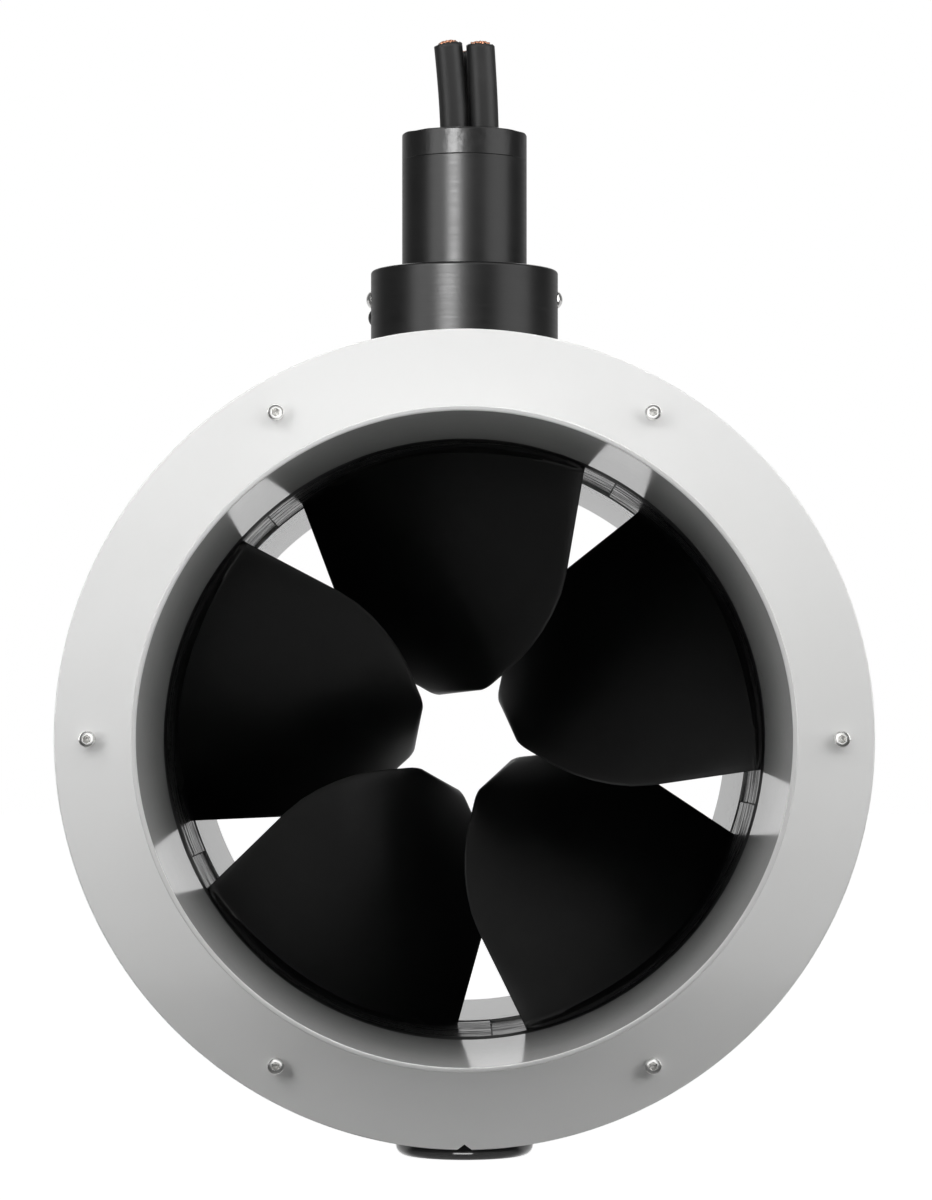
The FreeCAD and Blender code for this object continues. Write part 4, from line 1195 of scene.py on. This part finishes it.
@dataclass
class PhaseCables(SubAssembly):
    """Three heavy cables that stand out of the stem and end cut, with their copper bare."""

    diameter: float = 0.0122
    jacket: float = 0.0019
    jacket_edges: tuple = (0.0003, 0.0004)
    jacket_wave: float = 0.00012
    jacket_waves: tuple = (9, 17)
    strand: float = 0.00052
    strand_taper: tuple = (0.98, 0.98, 0.6)
    strand_rows: int = 4
    strand_bevel: float = 0.0002
    strand_spread: tuple = (-0.00025, 0.00035)
    proud: float = 0.0016
    sunk: float = 0.0006
    sharp: float = 50.0
    routes: tuple = (
        ((-0.0042, -0.0051, 0.220), (-0.0042, -0.0051, 0.246), (-0.0044, -0.0057, 0.272),
         (-0.0069, -0.0065, 0.2966)),
        ((0.0088, -0.0051, 0.220), (0.0088, -0.0051, 0.246), (0.0085, -0.0057, 0.272), (0.0069, -0.0066, 0.2962)),
        ((0.0014, 0.0068, 0.220), (0.0014, 0.0068, 0.245), (0.0019, 0.0076, 0.270), (0.0024, 0.0092, 0.2950)),
    )
    lengths: tuple = (0.0776, 0.0770, 0.0751)
    slants: tuple = ((0.0009, 2.4), (0.0011, 0.5), (0.0006, 1.2))

    def build(self) -> None:
        """Makes each cable with its bare end."""
        for number, route in enumerate(self.routes, 1):
            points = np.array(route)
            core = self.fit(self.core(number, points), Finish.BARE_COPPER, f"cable_core_{number}")
            rim = self.shape(f"cable_rim_{number}", self.rim(number, points), Finish.CABLE_RUBBER, sharp=self.sharp)
            cable = self.fit(self.line(number, route), Finish.CABLE_RUBBER, f"phase_cable_{number}")

    def line(self, number: int, route: tuple) -> bpy.types.Object:
        """One cable as a smooth curve with a round section.

        Args:
            number: the cable's number.
            route: the curve's control points.

        Returns:
            The new object.
        """
        curve = bpy.data.curves.new(f"cable_{number}", "CURVE")
        curve.dimensions = "3D"
        curve.resolution_u = 12
        curve.bevel_depth = self.diameter / 2
        curve.bevel_resolution = 10
        curve.use_fill_caps = True
        spline = curve.splines.new("NURBS")
        spline.points.add(len(route) - 1)
        for point, place in zip(spline.points, route):
            point.co = (*place, 1.0)
        spline.order_u = 3
        spline.use_endpoint_u = True
        return placed(f"cable_{number}", curve)

    def at_end(self, points: np.ndarray, across: np.ndarray, up: np.ndarray, height: np.ndarray) -> np.ndarray:
        """Points laid off from a route's end.

        Args:
            points: the route.
            across: distances square to its last run and to the tunnel axis.
            up: distances square to both.
            height: distances along the last run.

        Returns:
            Grid of points.
        """
        run = points[-1] - points[-2]
        along = run / np.linalg.norm(run)
        first = np.cross(along, [0.0, 1.0, 0.0])
        first /= np.linalg.norm(first)
        second = np.cross(along, first)
        return points[-1] + across[..., None] * first + up[..., None] * second + height[..., None] * along

    def cut(self, number: int, sideways: np.ndarray, angle: np.ndarray) -> np.ndarray:
        """Height of the slanted cut above the cable's end, at a distance from its middle and an angle."""
        slope, towards = self.slants[number - 1]
        return self.sunk + slope * (1 + sideways / (self.diameter / 2) * np.cos(angle - towards)) / 2

    def rim(self, number: int, points: np.ndarray) -> np.ndarray:
        """Ragged end of the jacket: a short ring whose top follows the slanted cut with small waves.

        Args:
            number: the cable's number.
            points: its route.

        Returns:
            Grid of points.
        """
        angle, (lip, edge) = turns(72), self.jacket_edges
        outer, inner = self.diameter / 2, self.diameter / 2 - self.jacket
        radius = np.array([[inner], [inner], [inner + lip], [outer - edge], [outer], [outer]])
        drop = np.array([[0.0], [lip], [0.0], [0.0], [edge], [0.0]])
        many, more = self.jacket_waves
        wave = self.jacket_wave * (np.sin(many * angle + number) + np.sin(more * angle))
        height = self.cut(number, radius, angle) + wave - drop
        height[[0, -1]] = -self.sunk
        return self.at_end(points, radius * np.cos(angle), radius * np.sin(angle), height)

    def core(self, number: int, points: np.ndarray) -> bpy.types.Object:
        """Copper strands packed in hexagonal rows, each cut at its own height.

        Args:
            number: the cable's number.
            points: its route.

        Returns:
            The new object.
        """
        spacing = 2 * self.strand
        rows = np.arange(-self.strand_rows, self.strand_rows + 1)
        row, column = np.meshgrid(rows, rows, indexing="ij")
        x = ((column + 0.5 * (row % 2)) * spacing).ravel()
        y = (row * spacing * math.sqrt(3) / 2).ravel()
        inside = np.hypot(x, y) < self.diameter / 2 - self.jacket - 0.4 * self.strand
        spread = np.random.default_rng(number).uniform(*self.strand_spread, inside.sum())
        angle = turns(8)
        radius = self.strand * np.array(self.strand_taper)[:, None]
        shell = Shell()
        for across, up, extra in zip(x[inside], y[inside], spread):
            dome = 1 - (np.hypot(across, up) / self.diameter * 2) ** 2
            height = self.cut(number, np.hypot(across, up), math.atan2(up, across)) + self.proud * dome + extra
            level = np.array([[-self.sunk], [height - self.strand_bevel], [height]])
            shell.add(self.at_end(points, across + radius * np.cos(angle), up + radius * np.sin(angle),
                                  level + 0 * angle))
        return shell.make(f"cable_strands_{number}", self.sharp)


# ---------------------------------------------------------------- studio

STEM_PIECES = ("collar", "tube", "sleeve", "collar_plug", "collar_screws")


@dataclass(frozen=True)
class Softbox:
    """One rectangular lamp that looks at a point; it may be seen in reflections alone, or light only some pieces."""

    name: str
    place: tuple
    target: tuple
    size: tuple
    power: float
    diffuse: bool = True
    pieces: tuple = ()

    def build(self) -> None:
        """Makes the lamp."""
        light = bpy.data.lights.new(self.name, "AREA")
        light.shape = "RECTANGLE"
        light.size, light.size_y = self.size
        light.energy = self.power
        lamp = placed(self.name, light)
        lamp.location = self.place
        lamp.visible_diffuse = self.diffuse
        lamp.rotation_euler = (Vector(self.target) - Vector(self.place)).to_track_quat("-Z", "Y").to_euler()


@dataclass(frozen=True)
class Studio:
    """Camera, lamps, world and floor."""

    distance: float = 1.721
    lens: float = 120.0
    sensor: float = 36.0
    shift: tuple = (0.0013, 0.116)
    far: float = 50.0
    floor_drop: float = 0.42
    floor_reach: float = 30.0
    floor_paint: tuple = (0.78, 0.82)
    floor_glow: float = 0.86
    floor_fade: tuple = (0.9, 1.8)
    floor_back: tuple = (0.2, 0.9)
    world_back: tuple = (0.45, 0.97)
    ambient: float = 0.02
    front_reflection: float = 0.12
    back_reflection: float = 0.56
    lamps: tuple = (
        Softbox("left softbox", (-0.52, -0.38, 0.27), (0, -0.05, 0), (0.26, 0.75), 2.55),
        Softbox("right softbox", (0.68, -0.36, 0.31), (0, -0.05, 0), (0.64, 0.8), 4.4),
        Softbox("top softbox", (0, -0.42, 0.53), (0, -0.1, 0), (0.8, 0.35), 1.65),
        Softbox("front panel", (0, -2.0, 0.18), (0, 0, 0.12), (0.9, 0.8), 3.0, False),
        Softbox("rear softbox", (0, 1.3, 1.2), (0, 0.1, 0), (1.3, 0.6), 8.0),
        Softbox("gleam", (-0.4, -1.14, 0.46), (0, 0, 0.24), (0.4, 0.36), 20.0, False, STEM_PIECES),
        Softbox("low gleam", (-0.02, -0.42, -0.5), (0, 0, -0.17), (0.26, 0.14), 0.8, False, ("lower_cap",)),
        Softbox("lip strip", (0, -0.62, 0.8), (0, -0.2, 0), (0.9, 0.06), 4.5, False, ("front_stub",)),
    )

    def build(self) -> None:
        """Makes everything round the object."""
        scene = bpy.context.scene
        scene.view_settings.view_transform = "Standard"
        camera = bpy.data.cameras.new("camera")
        camera.lens = self.lens
        camera.sensor_width = self.sensor
        camera.shift_x, camera.shift_y = self.shift
        camera.clip_end = self.far
        scene.camera = placed("camera", camera)
        scene.camera.location = (0.0, -self.distance, 0.0)
        scene.camera.rotation_euler = (math.pi / 2, 0.0, 0.0)
        for lamp in self.lamps:
            lamp.build()
        scene.world = self.world()
        self.floor()

    def flag(self) -> None:
        """Keeps each lamp that names pieces off everything else, as flags on stands would."""
        for lamp in self.lamps:
            if lamp.pieces:
                lit = bpy.data.collections.new(lamp.name)
                for name in lamp.pieces:
                    lit.objects.link(bpy.data.objects[name])
                bpy.data.objects[lamp.name].light_linking.receiver_collection = lit

    def world(self) -> bpy.types.World:
        """White where it is seen, white behind the object in reflections, and an even dim light elsewhere.

        Returns:
            The new world.
        """
        graph = Graph(bpy.data.worlds.new("studio"), "Background")
        behind = graph.depth("Generated").between(*self.world_back)
        mirrored = behind * (self.back_reflection - self.front_reflection) + self.front_reflection
        unseen = graph.ray("Glossy") * (mirrored - self.ambient) + self.ambient
        seen = graph.ray("Camera") + graph.ray("Transmission")
        graph.set(Color=rgba(1.0), Strength=seen * (1 - unseen) + unseen)
        return graph.owner

    def floor(self) -> None:
        """Large pale floor that reads as white where it is lit and keeps a soft shadow."""
        level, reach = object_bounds()[LOW][Z] - self.floor_drop, self.floor_reach
        mesh = bpy.data.meshes.new("floor")
        mesh.from_pydata([(-reach, -reach, level), (reach, -reach, level), (reach, reach, level),
                          (-reach, reach, level)], [], [(0, 1, 2, 3)])
        floor = placed("floor", mesh)
        graph = Graph(bpy.data.materials.new("floor paint"))
        away = graph.node("ShaderNodeVectorMath", {"operation": "LENGTH"}, {"Vector": graph.place()}, "Value")
        glow = graph.blend(away.between(*self.floor_fade), self.floor_glow, 1.0)
        back = graph.ray("Glossy") * graph.depth().between(*self.floor_back) * self.back_reflection
        graph.set(Base_Color=graph.blend(graph.noise(6.0, 4.0), *self.floor_paint), Roughness=0.8,
                  Emission_Color=graph.blend(graph.ray("Camera"), graph.blend(back, 0.0, 1.0), glow),
                  Emission_Strength=1.0)
        mesh.materials.append(graph.owner)
        floor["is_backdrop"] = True


def main() -> None:
    """Builds the object and its studio in order."""
    logging.basicConfig(level=logging.INFO, format="%(name)s %(message)s")
    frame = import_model()
    studio = Studio()
    studio.build()
    paints = Paintbox()
    paints.paint_frame(frame)
    plan = Plan.read(frame)
    for kind in (PhaseCables, TunnelStubs, FlangeScrews, Motor, Rotor, Stem):
        kind(plan, paints).build()
        LOG.info("%s done", kind.__name__)
    studio.flag()


if __name__ == "__main__":
    main()
